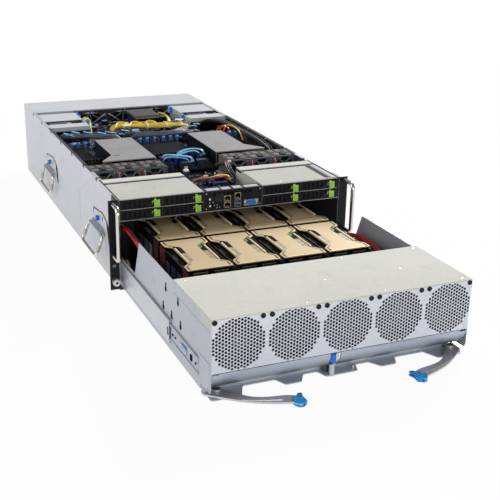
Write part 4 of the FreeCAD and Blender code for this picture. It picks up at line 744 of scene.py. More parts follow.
class ServerFanBox(ServerPiece):
    """Pierced face, bent cover, side flaps and rivets of the fan box."""
    bl_idname = "server.fan_box"
    bl_label = "Fan box"

    def make(self):
        shell = [self.face(), self.cover()]
        outline = [(FACE_Y, 129.5), (-450.4, BOX_TOP), (-371, BOX_TOP), (-371, 130.2), (-408, 129.3), (-422, 116.4),
                   (-451.8, 116.4)]
        flap = plate("box_cover", outline, -TRAY_X - 0.9, -TRAY_X, "x", 0.25)
        shell += [flap, mirrored(flap)]
        hang("fan_box", shell, "tray", ["fan_housing"])
        rows = ((-441, (-206, -66, 66, 206)), (-300, (-204, -68, 68, 204)), (-372, (-136, 0, 136)))
        dots = [(x, y, BOX_TOP) for y, line in rows for x in line]
        hang("fan_box_rivets", rivets("tin", dots, "z", 1.9, 0.35), "tray")
        heads = rivets("charcoal",
                       [(x * FAN_PITCH + side * 37, FACE_Y, 127) for x in range(-2, 3) for side in (-1, 1)],
                       "y", 3.6, -1.15)
        necks = [block("charcoal", (-1.3, FACE_Y - 0.9, 128), (1.3, FACE_Y - 0.2, 130.6), 0.2)]
        necks[0].data.transform(Matrix.Translation(at(-2 * FAN_PITCH - 37, 0, 0)))
        necks = copies(necks[0], *((x * FAN_PITCH + side, 0, 0) for x in range(5) for side in (0, 74) if x or side))
        hang("fan_box_plugs", heads + necks, "tray")

    def face(self):
        """Field of one fan, pierced and then set five times side by side."""
        tile = block("box_face", (-44, FACE_Y, 47), (44, FACE_Y + 1.2, 129.6), 0)
        tile.name = "box_face_tile"
        pitch, reach = sizes().grille_pitch * 1000, sizes().grille_reach * 1000
        column = pitch * math.sqrt(3) / 2
        spots = []
        for i in range(-9, 10):
            for j in range(-9, 10):
                x, z = i * column, (j + (i % 2) / 2) * pitch
                if math.hypot(x, z) <= reach:
                    spots.append((x, FACE_Y - 1, FAN_LEVEL + z))
        punch = drum("box_face", spots[0], sizes().grille_hole * 500, 4, "y", 12, 0)
        start = Vector(spots[0])
        punch = joined("punch", copies(punch, *(Vector(spot) - start for spot in spots[1:])))
        take(tile)
        piercing = tile.modifiers.new("piercing", "BOOLEAN")
        piercing.operation = "DIFFERENCE"
        piercing.solver = "EXACT"
        piercing.object = punch
        bpy.ops.object.modifier_apply(modifier="piercing")
        bpy.data.objects.remove(punch)
        take(tile)
        bpy.ops.object.mode_set(mode="EDIT")
        bpy.ops.mesh.select_mode(type="FACE")
        bpy.ops.mesh.select_all(action="DESELECT")
        bpy.ops.object.mode_set(mode="OBJECT")
        for face in tile.data.polygons:
            face.select = abs(face.normal.x) > 0.99 and abs(abs(face.center.x) - 0.044) < 1e-5
        bpy.ops.object.mode_set(mode="EDIT")
        bpy.ops.mesh.delete(type="FACE")
        bpy.ops.object.mode_set(mode="OBJECT")
        face = joined("box_face", copies(tile, *((k * FAN_PITCH, 0, 0) for k in (-2, -1, 1, 2))))
        bpy.ops.object.mode_set(mode="EDIT")
        bpy.ops.mesh.select_all(action="SELECT")
        bpy.ops.mesh.remove_doubles(threshold=0.00002)
        for side in (-1, 1):
            bpy.ops.mesh.select_all(action="SELECT")
            bpy.ops.mesh.bisect(plane_co=at(side * 217.4, 0, 0), plane_no=(side, 0, 0), use_fill=True,
                                clear_outer=True)
        bpy.ops.object.mode_set(mode="OBJECT")
        return face

    def cover(self):
        """Sheet bent down over the face in front and into a hem behind."""
        section = [(-452, 129.4)]
        section += [(-449.7 - 2.3 * math.cos(a), 129.2 + 2.3 * math.sin(a)) for a in (0.2, 0.6, 1.0, 1.3, 1.57)]
        section += [(-290.4 + 2.3 * math.sin(a), 129.2 + 2.3 * math.cos(a)) for a in (0, 0.3, 0.7, 1.1, 1.5)]
        section += [(-288.1, 122.6), (-289.3, 122.6), (-289.3, 129.2), (-290.4, 130.3), (-449.7, 130.3),
                    (-450.7, 129.4)]
        return plate("box_cover", section, -217.4, 217.4, "x")


# Graphics modules

class ServerModules(ServerPiece):
    """Cover plates with their inlays, the coolers' sides and the blocks between the modules."""
    bl_idname = "server.modules"
    bl_label = "Graphics modules"

    def make(self):
        self.covers()
        self.sides()
        self.between()

    def covers(self):
        right = [(39.8, -71.8), (39.8, -52), (28.6, -41), (28.6, 38.5), (39.8, 49), (39.8, 71.8)]
        outline = right + [(-x, y) for x, y in reversed(right)]
        inner = [(x * 0.955, y * 0.975) for x, y in outline]
        parts = [plate("cover_gold", outline, 114.1, PLATE_TOP, "z", 0.3),
                 plate("slot_black", inner, 111.2, 114.2, "z")]
        width = sizes().inlay * 1000
        for side in (-1, 1):
            for line in ([(35.4, -69.5), (35.4, -54), (25.4, -44.4)], [(24.8, 42.4), (35.4, 52.4), (35.4, 70.2)]):
                parts.append(self.inlay([(side * x, y) for x, y in line], width))
            bar = [(25.6, -38), (28.2, -38), (28.2, 36), (27, 38.4), (25.6, 38.4)]
            parts.append(plate("bar_gold", sided(bar, side), 115, 117.8, "z", 0.5))
            slot = [(15.2, 7), (25.2, 7), (25.2, 41.5), (21.5, 41.5), (15.2, 35)]
            parts.append(plate("slot_black", sided(slot, side), 114, 116.12, "z"))
            stripe = [(15.2, -30), (25.2, -40), (25.2, 6.6), (15.2, 6.6)]
            parts.append(plate("stripe_grey", sided(stripe, side), 114, 116.14, "z"))
            frill = [(side * 25.7, 31), (side * 28.3, 31), (side * 28.3, 38.2), (side * 25.7, 38.2)]
            parts.append(plate("slot_black", frill[::side], 116, 117.9, "z", 0.2))
        parts.append(plate("patch_green", [(15.4, 20), (22, 27), (22, 38), (19.4, 39), (15.4, 35)], 114, 116.2, "z"))
        # Light gold strips along the plate's front edge and rear corners: painted edge highlights.
        rim = [(39.4, 71.4), (39.4, 49.2), (34.6, 44.4), (34, 45.2), (38, 50), (38, 71.4)]
        for side in (-1, 1):
            parts.append(plate("bar_gold", sided(rim, side), 115.6, 116.12, "z"))
        parts.append(block("bar_gold", (-38, -71.7, 115.6), (38, -69.6, 116.2), 0.2))
        for x in (-33, 0, 33):
            for y in (-66, 66):
                parts += rivets("tin", [(x, y, PLATE_TOP)], "z", 1.1, 0.3)
        parts += blocks(("slot_black", (-37, -72, 104), (37, -69.5, 111.1), 0.3),
                        ("slot_black", (-37, 69.5, 104), (37, 72, 111.1), 0.3))
        for x in (-30, 6):
            parts += blocks(("cooler_side", (x, -72.6, 104.6), (x + 24, -71.8, 108.6), 0.2),
                            ("beige_rim", (x - 1.5, -72.4, 109), (x + 25.5, -71.8, 110), 0.2))
        for x in (-24, 4):
            parts.append(block("beige_rim", (x, -72.1, 100.5), (x + 21, -70, 103.8), 0.3))
        self.repeat("gpu_cover_plates", parts, "cover_gold", ["gpu_covers"])

    def inlay(self, line, width):
        """Thin dark line along a bent path on the plate."""
        half = width / 2
        outline = [(x - half, y) for x, y in line] + [(x + half, y) for x, y in reversed(line)]
        return plate("slot_black", outline, PLATE_TOP - 0.6, PLATE_TOP + 0.2, "z")

    def repeat(self, name, parts, slot, replaces=()):
        master = joined(name, parts)
        first = Vector((*MODULE_CENTRES[0], 0))
        master.data.transform(Matrix.Translation(at(*first)))
        pieces = copies(master, *(Vector((*centre, 0)) - first for centre in MODULE_CENTRES[1:]))
        hang(name, pieces, "tray", replaces)

    def sides(self):
        parts = []
        for side in (-1, 1):
            for low, high, finish in ((-71.8, -50, "cooler_side"), (-50, 42, "slot_black"),
                                      (42, 71.8, "cooler_side")):
                inner, outer = span(side, 40.1, 41.0)
                parts.append(block(finish, (inner, low, 31), (outer, high, 110.8), 0.2))
            inner, outer = span(side, 41.0, 41.5)
            parts += blocks(("label_red", (inner, -52.6, 34), (outer, -49.6, 110), 0.2),
                            ("label_red", (inner, 55, 98), (outer, 70, 110), 0.2))
            for y in (-40, -12, 16):
                parts.append(block("block_grey", (inner, y, 40), (outer, y + 20, 96), 0.2))
        parts.append(block("part_black", (-39.6, -72.3, 31), (39.6, -71.9, 46), 0.1))
        self.repeat("gpu_cooler_sides", parts, "cooler_metal")

    def between(self):
        """Dark floor, walls and small blocks in each gap beside the waists."""
        parts = []
        for x, y in MODULE_CENTRES:
            for side in (-1, 1):
                inner, outer = sorted((x + side * 30.4, x + side * 39.6))
                parts.append(block("part_black", (inner, y - 50, 99), (outer, y + 47, 104.5), 0.4))
                walls = sorted((x + side * 29.4, x + side * 30.3))
                parts += blocks(("slot_black", (walls[0], y - 41, 100), (walls[1], y + 39, 111), 0.1),
                                ("block_grey", (inner + 1, y - 40, 104), (outer - 1, y - 24, 108.5), 0.6),
                                ("block_grey", (inner + 1, y - 4, 104), (outer - 1, y + 22, 109), 0.6),
                                ("steel_dark", (inner + 2, y - 19, 104), (outer - 2, y - 8, 106.5), 0.4))
        for x in MODULE_X[:3]:
            for y in MODULE_Y:
                parts += blocks(("socket_black", (x + 40.6, y - 71, 106), (x + 45.4, y - 58, 112.5), 0.4),
                                ("socket_black", (x + 40.6, y + 51, 106), (x + 45.4, y + 71, 112.5), 0.4))
        hang("gpu_gap_blocks", parts, "tray")


# Drive bays and front panel

def bay_corner(number):
    """Left, lower corner of a drive carrier's front, counted from the left, lower ones first."""
    bay, level = divmod(number - 1, 2)
    return (-218.1, -138.6, 60.9, 139.4)[bay], 134.6 + 19.15 * level


class ServerDrives(ServerPiece):
    """Fronts and latches of the drive carriers, covers and edge trim of the cages."""
    bl_idname = "server.drives"
    bl_label = "Drive bays"

    def make(self):
        start = bay_corner(1)
        front = joined("front", self.carrier_front(*start))
        latch = joined("latch", self.latch(*start))
        for number in DRIVES:
            x, z = bay_corner(number)
            shift = (x - start[0], 0, z - start[1])
            hang("drive_front_%d" % number, copies(front, shift)[1:], "drive_carrier_%d" % number)
            hang("drive_latch_grip_%d" % number, copies(latch, shift)[1:], "drive_latch_%d" % number,
                 ["drive_latch_%d" % number])
        for used in (front, latch):
            bpy.data.objects.remove(used)
        self.covers()

    def carrier_front(self, x, z):
        y = -1.5  # front of the carrier
        parts = [block("carrier_black", (x + 2.4, y - 0.9, z + 14.6), (x + 60.4, y + 0.3, z + 16.6), 0.4),
                 block("carrier_black", (x + 2.4, y - 0.9, z + 0.8), (x + 60.4, y + 0.3, z + 2.6), 0.4),
                 block("part_black", (x + 0.3, y - 0.7, z + 0.8), (x + 3.6, y + 0.3, z + 16.6), 0.4)]
        grid = [block("carrier_black", (x + 4, y + 0.4, z + 6.6), (x + 59, y + 1.6, z + 7.3), 0),
                block("carrier_black", (x + 4, y + 0.4, z + 10.2), (x + 59, y + 1.6, z + 10.9), 0)]
        ribs = copies(block("carrier_black", (x + 8.6, y + 0.3, z + 3.2), (x + 9.2, y + 1.7, z + 14.2), 0),
                      *((4.6 * k + 0.1, 0, 0) for k in range(1, 12)))
        handle = plate("part_black", [(x + 44, z + 2.8), (x + 61.2, z + 2.8), (x + 61.2, z + 14.2),
                                      (x + 54, z + 14.2), (x + 50, z + 6.2), (x + 44, z + 4.6)],
                       y - 1.1, y + 0.6, "y", 0.3)
        lens = [drum("button_white", (x + 58.6, y - 1.3, z + 11.6 - 3 * k), 0.7, 0.4, "y", 12, 0.1) for k in (0, 1)]
        return parts + grid + ribs + [handle] + lens

    def latch(self, x, z):
        """Lime latch with ribs and a finger hooked to the left; its hinge is at the right end."""
        x, z = x + 62.4, z + 0.3
        body = plate("latch_green", [(x, z + 0.3), (x + 7.6, z + 0.3), (x + 8.4, z + 1.1), (x + 8.4, z + 12.1),
                                     (x + 7.6, z + 12.9), (x + 5, z + 12.9), (x + 4, z + 15.4), (x, z + 15.4)],
                     -2.1, 1.6, "y", 0.7, 3)
        finger = plate("latch_green", [(x - 4.6, z + 10.4), (x + 1, z + 9.2), (x + 1, z + 13.2), (x - 2.6, z + 13)],
                       -2.6, -1.7, "y", 0.35, 2)
        body = [body, block("latch_green", (x + 8, -1.3, z + 0.3), (x + 10.6, 1.5, z + 12.9), 0.3)]
        ribs = series(block("latch_green", (x + 1.9, -2.6, z + 2.4), (x + 2.7, -1.9, z + 10.6), 0.3, 2),
                      4, (1.6, 0, 0))
        barrel = drum("latch_green", (x + 10.4, 0.1, z + 0.2), 1.6, 12.8, "z", 16, 0.3)
        return body + [finger, barrel] + ribs

    def covers(self):
        parts = []
        for side in (-1, 1):
            low, high = span(side, 59.8, 219.2)
            parts += blocks(("cream_paint", (low, 1.2, 173), (high, 100.6, 173.3), 0.1),
                            # Dark strip over the groove between cover and flange: painted shade of the groove.
                            ("slot_black", (low, 100.2, 172.9), (high, 105.4, 173.5), 0.1),
                            ("box_cover", (low, 106.2, 174), (high, 131.8, 174.3), 0.1),
                            ("chassis_steel", (low, 105.9, 173.2), (high, 107.4, 174.9), 0.3))
            for bay_x in (side * 139.5, side * 219.1, side * 59.9):
                parts.append(block("steel_dark", (bay_x - 0.55, -1.6, 134.3), (bay_x + 0.55, 0.2, 171.4), 0.2))
            parts += rivets("tin", [(side * 139, 50, 173.3), (side * 100, 92, 173.3), (side * 180, 92, 173.3),
                                    (side * 100, 12, 173.3), (side * 180, 12, 173.3)], "z", 1.8, 0.3)
        parts.append(block("charcoal", (196, 6, 173.2), (206.5, 98, 173.5), 0.1))
        parts += series(block("slot_black", (197.4, 9, 173.4), (205, 11.6, 173.6), 0), 17, (0, 5.2, 0))
        parts += blocks(("card_steel", (208, 2, 173.2), (218, 100, 174.2), 0.4),
                        ("supply_case", (-222.6, -1.7, 132.6), (222.6, 0.2, 133.8), 0.3))
        hang("cage_trim", parts, "chassis")


class ServerPanelParts(ServerPiece):
    """Sockets, vents, lamps and ledge parts of the middle front panel."""
    bl_idname = "server.front_panel"
    bl_label = "Front panel"

    def make(self):
        parts = []
        for x, z, wide, tall in ((-19, 137, 13.5, 11), (-19, 149.5, 13.5, 11), (2.4, 152, 12.5, 12.5)):
            parts += self.network_socket(x, z, wide, tall)
        for z in (136.5, 144):
            parts += self.frame("tin", 2.4, z, 13, 6, 0.7)
            parts.append(block("socket_blue", (4.4, 0.2, z + 2.4), (13.4, 9, z + 4.3), 0.2))
            parts += series(block("beige_rim", (5, 0.1, z + 2), (5.9, 6, z + 2.4), 0), 4, (2.4, 0, 0))
        parts += self.video_socket(21, 136.5)
        for column in range(8):
            for row in range(5):
                x, z = -36 + 2.0 * column, 150 + 3.2 * row
                parts.append(block("charcoal", (x, -0.45, z), (x + 1.2, 0.2, z + 2.4), 0))
        for x, z in ((44, 160), (49, 163), (40, 155.5), (46, 152), (51, 157)):
            parts.append(ring("charcoal", (x, -0.1, z), 1.7, 0.35, "y", 16, 6))
        for x, z in ((-33, 139), (-28, 139), (-33, 144), (-38, 144), (-47.7, 149.9), (-41, 150)):
            parts.append(drum("button_white", (x, -0.35, z), 0.8, 0.6, "y", 12, 0.1))
        for z in (143.5, 156.5):
            parts.append(ring("charcoal", (-47.7, -0.1, z), 4.4, 0.4, "y", 24, 6))
        for x in (-54.5, 54.5):
            parts += rivets("tin", [(x, 0, z) for z in (138, 167.5)], "y", 1.9, -0.6)
        parts += series(block("slot_black", (-39.6, 0.4, 162.4), (-34.4, 1.9, 166.8), 0), 9, (8.8, 0, 0))
        for low, high in ((-52, -26), (-22, -4), (2, 19), (24, 52)):
            parts.append(block("card_steel", (low, 3, 171.4), (high, 19 - (low % 5), 172.8), 0.4))
        hang("front_panel_parts", parts, "chassis")
        for name, z in (("power_button", 143.5), ("id_button", 156.5)):
            cap = [block("button_white", (-49.6, -1.7, z - 1.9), (-45.8, -1.1, z + 1.9), 0.3)]
            hang(name + "_cap", cap, name)

    def frame(self, finish, x, z, wide, tall, thick):
        """Rim round a socket's mouth."""
        right, top = x + wide, z + tall
        return [block(finish, (low[0], -0.9, low[1]), (high[0], 0.5, high[1]), 0.2) for low, high in (
            ((x - 0.2, z - 0.2), (right + 0.2, z + thick)), ((x - 0.2, top - thick), (right + 0.2, top + 0.2)),
            ((x - 0.2, z), (x + thick, top)), ((right - thick, z), (right + 0.2, top)))]

    def network_socket(self, x, z, wide, tall):
        parts = self.frame("beige_rim", x, z, wide, tall, 1.1)
        parts.append(block("slot_black", (x + 0.9, 8, z + 0.9), (x + wide - 0.9, 12, z + tall - 0.9), 0))
        parts += series(block("cover_gold", (x + 3, 1, z + 1.2), (x + 3.5, 9, z + 2), 0), 8, (0.95, 0, 0))
        for dx, finish in ((1.2, "latch_green"), (wide - 3.4, "wire_orange")):
            parts.append(block(finish, (x + dx, -0.95, z + tall - 2.6), (x + dx + 2.2, -0.1, z + tall - 1.2), 0.2))
        return parts

    def video_socket(self, x, z):
        shell = plate("tin", [(x + 0.2, z + 0.6), (x + 29.8, z + 0.6), (x + 29.8, z + 12), (x + 0.2, z + 12)],
                      -1, -0.2, "y", 0.3)
        mouth = [(x + 8.4, z + 2.6), (x + 21.6, z + 2.6), (x + 23, z + 4), (x + 24.2, z + 9), (x + 22.8, z + 10.4),
                 (x + 7.2, z + 10.4), (x + 5.8, z + 9), (x + 7, z + 4)]
        core = plate("clip_blue", mouth, -4.6, -0.8, "y", 0.4)
        pins = [drum("slot_black", (x + 9.3 + 2.8 * k + 0.6 * row, -4.75, z + 4.6 + 2.1 * row), 0.5, 0.3, "y", 8, 0)
                for row in range(3) for k in range(5)]
        bolts = [drum("tin", (x + u, -5.4, z + 6.4), 2.2, 4.6, "y", 6, 0.3) for u in (2.9, 27.1)]
        bolts += [drum("slot_black", (x + u, -5.6, z + 6.4), 1.0, 0.4, "y", 12, 0) for u in (2.9, 27.1)]
        return [shell, core] + pins + bolts


# Upper level

class ServerBoards(ServerPiece):
    """Small parts on the boards: chips, capacitors, connectors, heat sink, memory clips."""
    bl_idname = "server.boards"
    bl_label = "Boards"

    def make(self):
        self.small_parts()
        self.tall_parts()
        self.memory()

    def small_parts(self):
        """Chips and capacitors strewn over the free fields of the boards."""
        dice = random.Random(11)
        starters = [block("part_black", (0, 0, 0), (5, 4, 1.6), 0.2), block("beige_rim", (0, 0, 0), (1.8, 1, 0.9), 0),
                    block("socket_blue", (0, 0, 0), (9, 4, 6), 0.3), drum("tin", (0, 0, 0), 2.4, 5.5, "z", 14, 0.3),
                    block("button_white", (0, 0, 0), (7, 3.4, 5), 0.3),
                    block("charcoal", (0, 0, 0), (10, 8, 3.4), 0.3)]
        fields = (((-50, 110), (50, 184), 90), ((-64, 262), (64, 312), 90), ((-118, 476), (118, 560), 170),
                  ((-118, 560), (118, 740), 260), ((-206, 480), (-126, 584), 90), ((126, 480), (206, 584), 80),
                  ((-210, 262), (-184, 316), 24), ((184, 262), (210, 316), 24))
        made = []
        for low, high, count in fields:
            for _ in range(count):
                x, y = dice.uniform(low[0], high[0] - 10), dice.uniform(low[1], high[1] - 8)
                kind = dice.choices(range(6), (4, 7, 1.3, 1.6, 0.8, 1.5))[0]
                made += copies(starters[kind], (x, y, BOARD_TOP - 0.1))[1:]
        for start in starters:
            bpy.data.objects.remove(start)
        hang("board_small_parts", made, "chassis")

    def tall_parts(self):
        parts = [drum("block_grey", (-36, 164, 165.4), 6.4, 0.9, "z", 24, 0.3),
                 drum("tag_white", (-36, 164, 166.2), 5.6, 3.6, "z", 24, 1.2),
                 drum("tag_white", (-36, 164, 169.6), 2.4, 2.6, "z", 16, 0.6, 1.4)]
        steps = ((13, -3, 0), (26, -7, 1), (40, -4, -1), (56, 8, 3), (70, 14, 4), (84, 8, 2))
        parts += copies(block("socket_blue", (-48, 284, 146), (-41, 304, 163), 0.8), *steps)
        parts += copies(block("part_black", (-49, 282, BOARD_TOP), (-40, 306, 147), 0.5),
                        *((x, y, 0) for x, y, _ in steps))
        fins = series(block("fin_light", (8, 658, 166), (9.4, 734, 172.4), 0.2), 17, (3.65, 0, 0))
        parts += fins + [block("fin_light", (8, 658, 164), (68, 734, 167), 0.5)]
        parts += copies(block("part_black", (14, 118, 157.8), (38, 126, 163), 0.7), (6, 12, 1))
        parts += copies(block("charcoal", (-20, 146, 153.6), (-11, 152, 160), 0.6), (-14, 4, -2), (26, 4, 0),
                        (40, -8, 2), (-20, -26, 0))
        parts += [block("card_steel", (-6, 140, 153.6), (3, 146, 160), 0.6),
                  block("socket_blue", (-4, 92, 150), (26, 102, 158), 0.8)]
        for x, y in ((-90, 500), (-60, 548), (60, 480), (96, 560), (-104, 640), (-60, 700), (90, 700), (100, 640)):
            parts += blocks(("part_black", (x - 8, y - 5, 146), (x + 8, y + 5, 156), 0.8),
                            ("ribbon_sky", (x - 6, y - 3, 155.8), (x + 6, y + 3, 158), 0.5))
        hang("board_tall_parts", parts, "chassis")
        ribbons = (((-44, 292, 160), (-42, 292, 165.5), (-34, 294, 168), (-10, 282, 167.6), (8, 268, 167),
                    (14, 266, 163), (14, 264, 156)),
                   ((-46, 284, 158), (-43, 284, 163), (-30, 284, 165.6), (-8, 274, 165), (4, 262, 164),
                    (8, 262, 156)),
                   ((-8, 300, 158), (-7, 300, 166), (4, 306, 169.6), (24, 315, 171.4), (44, 310, 171), (54, 305, 168),
                    (55, 303, 158)),
                   ((-12, 292, 158), (-10, 294, 165), (6, 299, 167.6), (24, 306, 169), (42, 302, 168.4),
                    (47, 298, 158)))
        flats = [self.ribbon(route, 8) for route in ribbons]
        hang("flat_cables", flats, "chassis")

    def ribbon(self, route, wide):
        """Flat cable: a smooth line given a width and a thickness."""
        curve = bpy.data.curves.new("ribbon", "CURVE")
        curve.dimensions = "3D"
        curve.resolution_u = 8
        curve.twist_mode = "Z_UP"
        curve.extrude = wide / 2000
        curve.bevel_depth = 0.0005
        draw_line(curve, route, math.pi / 2)
        piece = bpy.data.objects.new("ribbon", curve)
        bpy.context.scene.collection.objects.link(piece)
        take(piece)
        bpy.ops.object.convert(target="MESH")
        piece = settle("ribbon_sky")
        bpy.ops.object.shade_smooth_by_angle(angle=math.radians(40))
        return piece

    def memory(self):
        """Blue and black latches at the ends of the memory sockets, and the sockets' slots."""
        clip = [(0, 0), (8, 0), (9, 5), (8, 10), (5, 11.5), (0.6, 9)]
        blue = (-198, -182, -167, -39.5, -22.5, -4.5, 16, 33.5, 49, 180, 196, 211)
        parts = [plate("clip_blue", [(463.6 + u, 153.6 + v) for u, v in clip], -3.3, 3.3, "x", 1.1, 3)]
        parts += [block("clip_blue", (-2, 468, 150), (2, 473, 156), 0.5)]
        master = joined("clip", parts)
        made = [copies(master, (x, 0, 0))[1] for x in blue]
        bpy.data.objects.remove(master)
        centres = [step * 4.25 for step in range(-11, 12, 2)]
        centres += [side * (170 + 7.75 * k) for side in (-1, 1) for k in range(6)]
        slot = block("slot_black", (-0.9, 324, 150.4), (0.9, 462, 150.9), 0)
        rail = block("charcoal", (-2.7, 322.6, 150.5), (-1.3, 463.4, 152.2), 0.2)
        front = plate("part_black", [(321.6, 158.6), (316, 160.6), (314.2, 164.6), (317, 166.6), (321.6, 161.6)],
                      -2.6, 2.6, "x", 0.4)
        master = joined("socket_trim", [slot, rail] + copies(rail, (4, 0, 0))[1:] + [front])
        made += [copies(master, (x, 0, 0))[1] for x in centres]
        bpy.data.objects.remove(master)
        hang("memory_latches", made, "chassis")


class ServerAir(ServerPiece):
    """Air duct skins, small fans with their guards, blades and clips."""
    bl_idname = "server.air"
    bl_label = "Ducts and small fans"

    def make(self):
        self.duct_sides()
        self.fans()

    def duct_sides(self):
        parts = []
        for side in (-1, 1):
            outline = [(67, 262.5), (180, 262.5), (180, 266), (150, 308), (150, 445.5), (67, 445.5)]
            parts.append(plate("duct_plastic", sided(outline, side), 173, 173.4, "z", 0.15))
            for low, wall in ((142, [(66.6, 262), (67, 262), (67, 446), (66.6, 446)]),
                              (142, [(180.3, 262), (180.3, 266.2), (150.4, 308.2), (150.4, 446),
                                     (150, 446), (150, 308), (180, 266), (180, 262)]),
                              (164, [(67, 446), (150, 446), (150, 446.5), (67, 446.5)])):
                parts.append(plate("part_black", sided(wall, side), low, SHEET_TOP, "z"))
        parts.append(block("slot_black", (-148, 300, 173.3), (-134, 303, 173.6), 0.1))
        hang("duct_skins", parts, "chassis")

    def fans(self):
        master = joined("small_fan", self.fan(-196.05))
        shifts = [(52.5 * k, 0, 0) for k in range(1, 3)] + [(287.1 + 52.5 * k, 0, 0) for k in range(3)]
        hang("small_fans", copies(master, *shifts), "chassis")
        routes = {name: [] for name in ("wire_orange", "cable_red", "tag_white", "wire_violet")}
        for x in (-219, -169.8, -117.3, 63.4, 117.3, 169.8):
            for lead, (name, lead_list) in enumerate(routes.items()):
                shift = 1.6 * lead - 2
                lead_list.append(((x + shift, 206, 160), (x + shift, 200, 168),
                                  (x + shift * 1.2, 195, 172.4 - lead * 0.4),
                                  (x + shift + 3, 190.4, 168), (x + shift + 4, 190, 150)))
        for name, lead_list in routes.items():
            leads("fan_leads_" + name, name, lead_list, 0.75, "chassis")

    def fan(self, x):
        """One small fan: skin, frame bars, rings and blades."""
        z = SMALL_FAN_LEVEL
        parts = [block("charcoal", (x - 24.6, 194.2, 171.9), (x + 24.6, 245.8, 172.2), 0.1)]
        for u, v, wide, deep in ((-21, 198, 15, 18), (4, 198, 17, 10), (-21, 221, 10, 20), (-6, 222, 12, 20),
                                 (10, 214, 11, 27)):
            parts.append(block("small_fan_plastic", (x + u, v, 172.1), (x + u + wide, v + deep, 173.2), 0.5))
        parts += blocks(("part_black", (x - 7, 198.5, 172.1), (x + 7, 207, 174.2), 0.8, 2),
                        ("part_black", (x - 3, 205, 172.1), (x + 3, 219, 173.8), 0.6),
                        ("part_black", (x + 13, 236, 172.1), (x + 22, 243, 174), 0.6))
        parts += [ring("block_grey", (x, 192.4, z), 18.4, 1.1, "y", 32, 8),
                  ring("block_grey", (x, 192.2, z), 8.4, 0.8, "y", 28, 6)]
        parts.append(block("block_grey", (x - 25.2, 191.4, 168.8), (x + 25.2, 194, 172.4), 1.0, 2))
        parts += [block("block_grey", (x + u - 1.6, 191.4, 134), (x + u + 1.6, 194, 171), 0.8) for u in (-23.8, 23.8)]
        for turn in (45, 135):
            bar = block("rail_steel", (x - 18.4, 191.7, z - 0.8), (x + 18.4, 192.7, z + 0.8), 0.3)
            take(bar)
            bpy.ops.transform.rotate(value=math.radians(turn), orient_axis="Y", center_override=at(x, 192.2, z))
            parts.append(settle("rail_steel"))
        blade = plate("part_black", [(6.5, -3), (16.4, -6.5), (16.9, 1.5), (7, 3.4)], 200, 201.2, "y", 0.2)
        blade.data.transform(Matrix.Translation(at(x, 0, z)))
        for turn in range(7):
            leaf = copies(blade, (0, 0, 0))[1]
            spot = Matrix.Translation(at(x, 205, z))
            twist = Matrix.Rotation(turn * math.tau / 7, 4, "Y") @ Matrix.Rotation(0.5, 4, "X")
            leaf.data.transform(spot @ twist @ spot.inverted())
            parts.append(leaf)
        bpy.data.objects.remove(blade)
        parts.append(drum("charcoal", (x, 196.2, z), 7.8, 3, "y", 28, 0.6))
        for u, v in ((-21, -15), (21, -15), (-21, 15), (21, 15)):
            parts.append(drum("tin", (x + u, 192.2, z + v), 1.8, 0.7, "y", 12, 0.2))
        return parts


class ServerRearBay(ServerPiece):
    """Card cages with levers and cards' edges, fan guards of the bulkhead, lid trim."""
    bl_idname = "server.rear_bay"
    bl_label = "Card cages and bulkhead"

    def make(self):
        parts = []
        for side in (-1, 1):
            for y in (600, 612, 672, 728):
                parts += rivets("tin", [(side * x, y, 172.8) for x in (134, 212)], "z", 1.8, 0.3)
            low, high = span(side, 126, 220.5)
            parts += blocks(("lid_steel", (low, 588.5, 172.8), (high, 623.5, 173.1), 0.1),
                            ("lid_steel", (low, 660.5, 172.8), (high, 739.5, 173.1), 0.1),
                            ("steel_dark", (low, 624.5, 164), (high, 659.5, 165.5), 0.2),
                            ("block_grey", (low + 12, 626, 165.4), (high - 40, 658, 170), 0.8),
                            ("slot_black", (low, 586.9, 144), (high, 587.9, 163), 0.1))
            for y in (626, 722):
                parts += self.lever(side, y)
        for index in (-1, 0, 1):
            parts += self.guard(index * 84)
        parts.append(block("chassis_steel", (-222, 756.6, 164.8), (222, 757.2, 166), 0.2))
        parts += rivets("tin", [(x, y, 174.9) for x in (-212, -70, 70, 212) for y in (766, 868)], "z", 1.8, 0.3)
        hang("rear_bay_parts", parts, "chassis")

    def lever(self, side, y):
        """Blue lever of a card cage with its pull tab and label."""
        parts = []
        for finish, near, far, front, rear, foot, top, edge, steps in (
                ("clip_blue", 118.4, 124.4, 0, 8, 158, 174, 1.4, 3),
                ("ribbon_sky", 114, 119.2, 1, 7, 160, 168, 1.0, 2),
                ("tag_white", 119, 125, 8.4, 12, 160, 170, 0.8, 2)):
            low, high = span(side, near, far)
            parts.append(block(finish, (low, y + front, foot), (high, y + rear, top), edge, steps))
        return parts

    def guard(self, x):
        parts = [block("block_grey", (x + u - 1.4, 742.6, 142), (x + u + 1.4, 745.6, 164.6), 0.6)
                 for u in (-42, 0, 41.9)]
        for side in (-1, 1):
            bar = [(x + side * 3, 142), (x + side * 6, 142), (x + side * 39, 163), (x + side * 38, 165),
                   (x + side * 35.4, 165)]
            parts.append(plate("rail_steel", bar, 742.8, 744.6, "y", 0.3))
            bar = [(x + side * 39, 142), (x + side * 36, 142), (x + side * 3, 163), (x + side * 4, 165),
                   (x + side * 6.4, 165)]
            parts.append(plate("block_grey", bar, 744.0, 745.6, "y", 0.3))
        parts.append(block("slot_black", (x - 41, 746.4, 141), (x + 41, 747, 165.6), 0.1))
        return parts


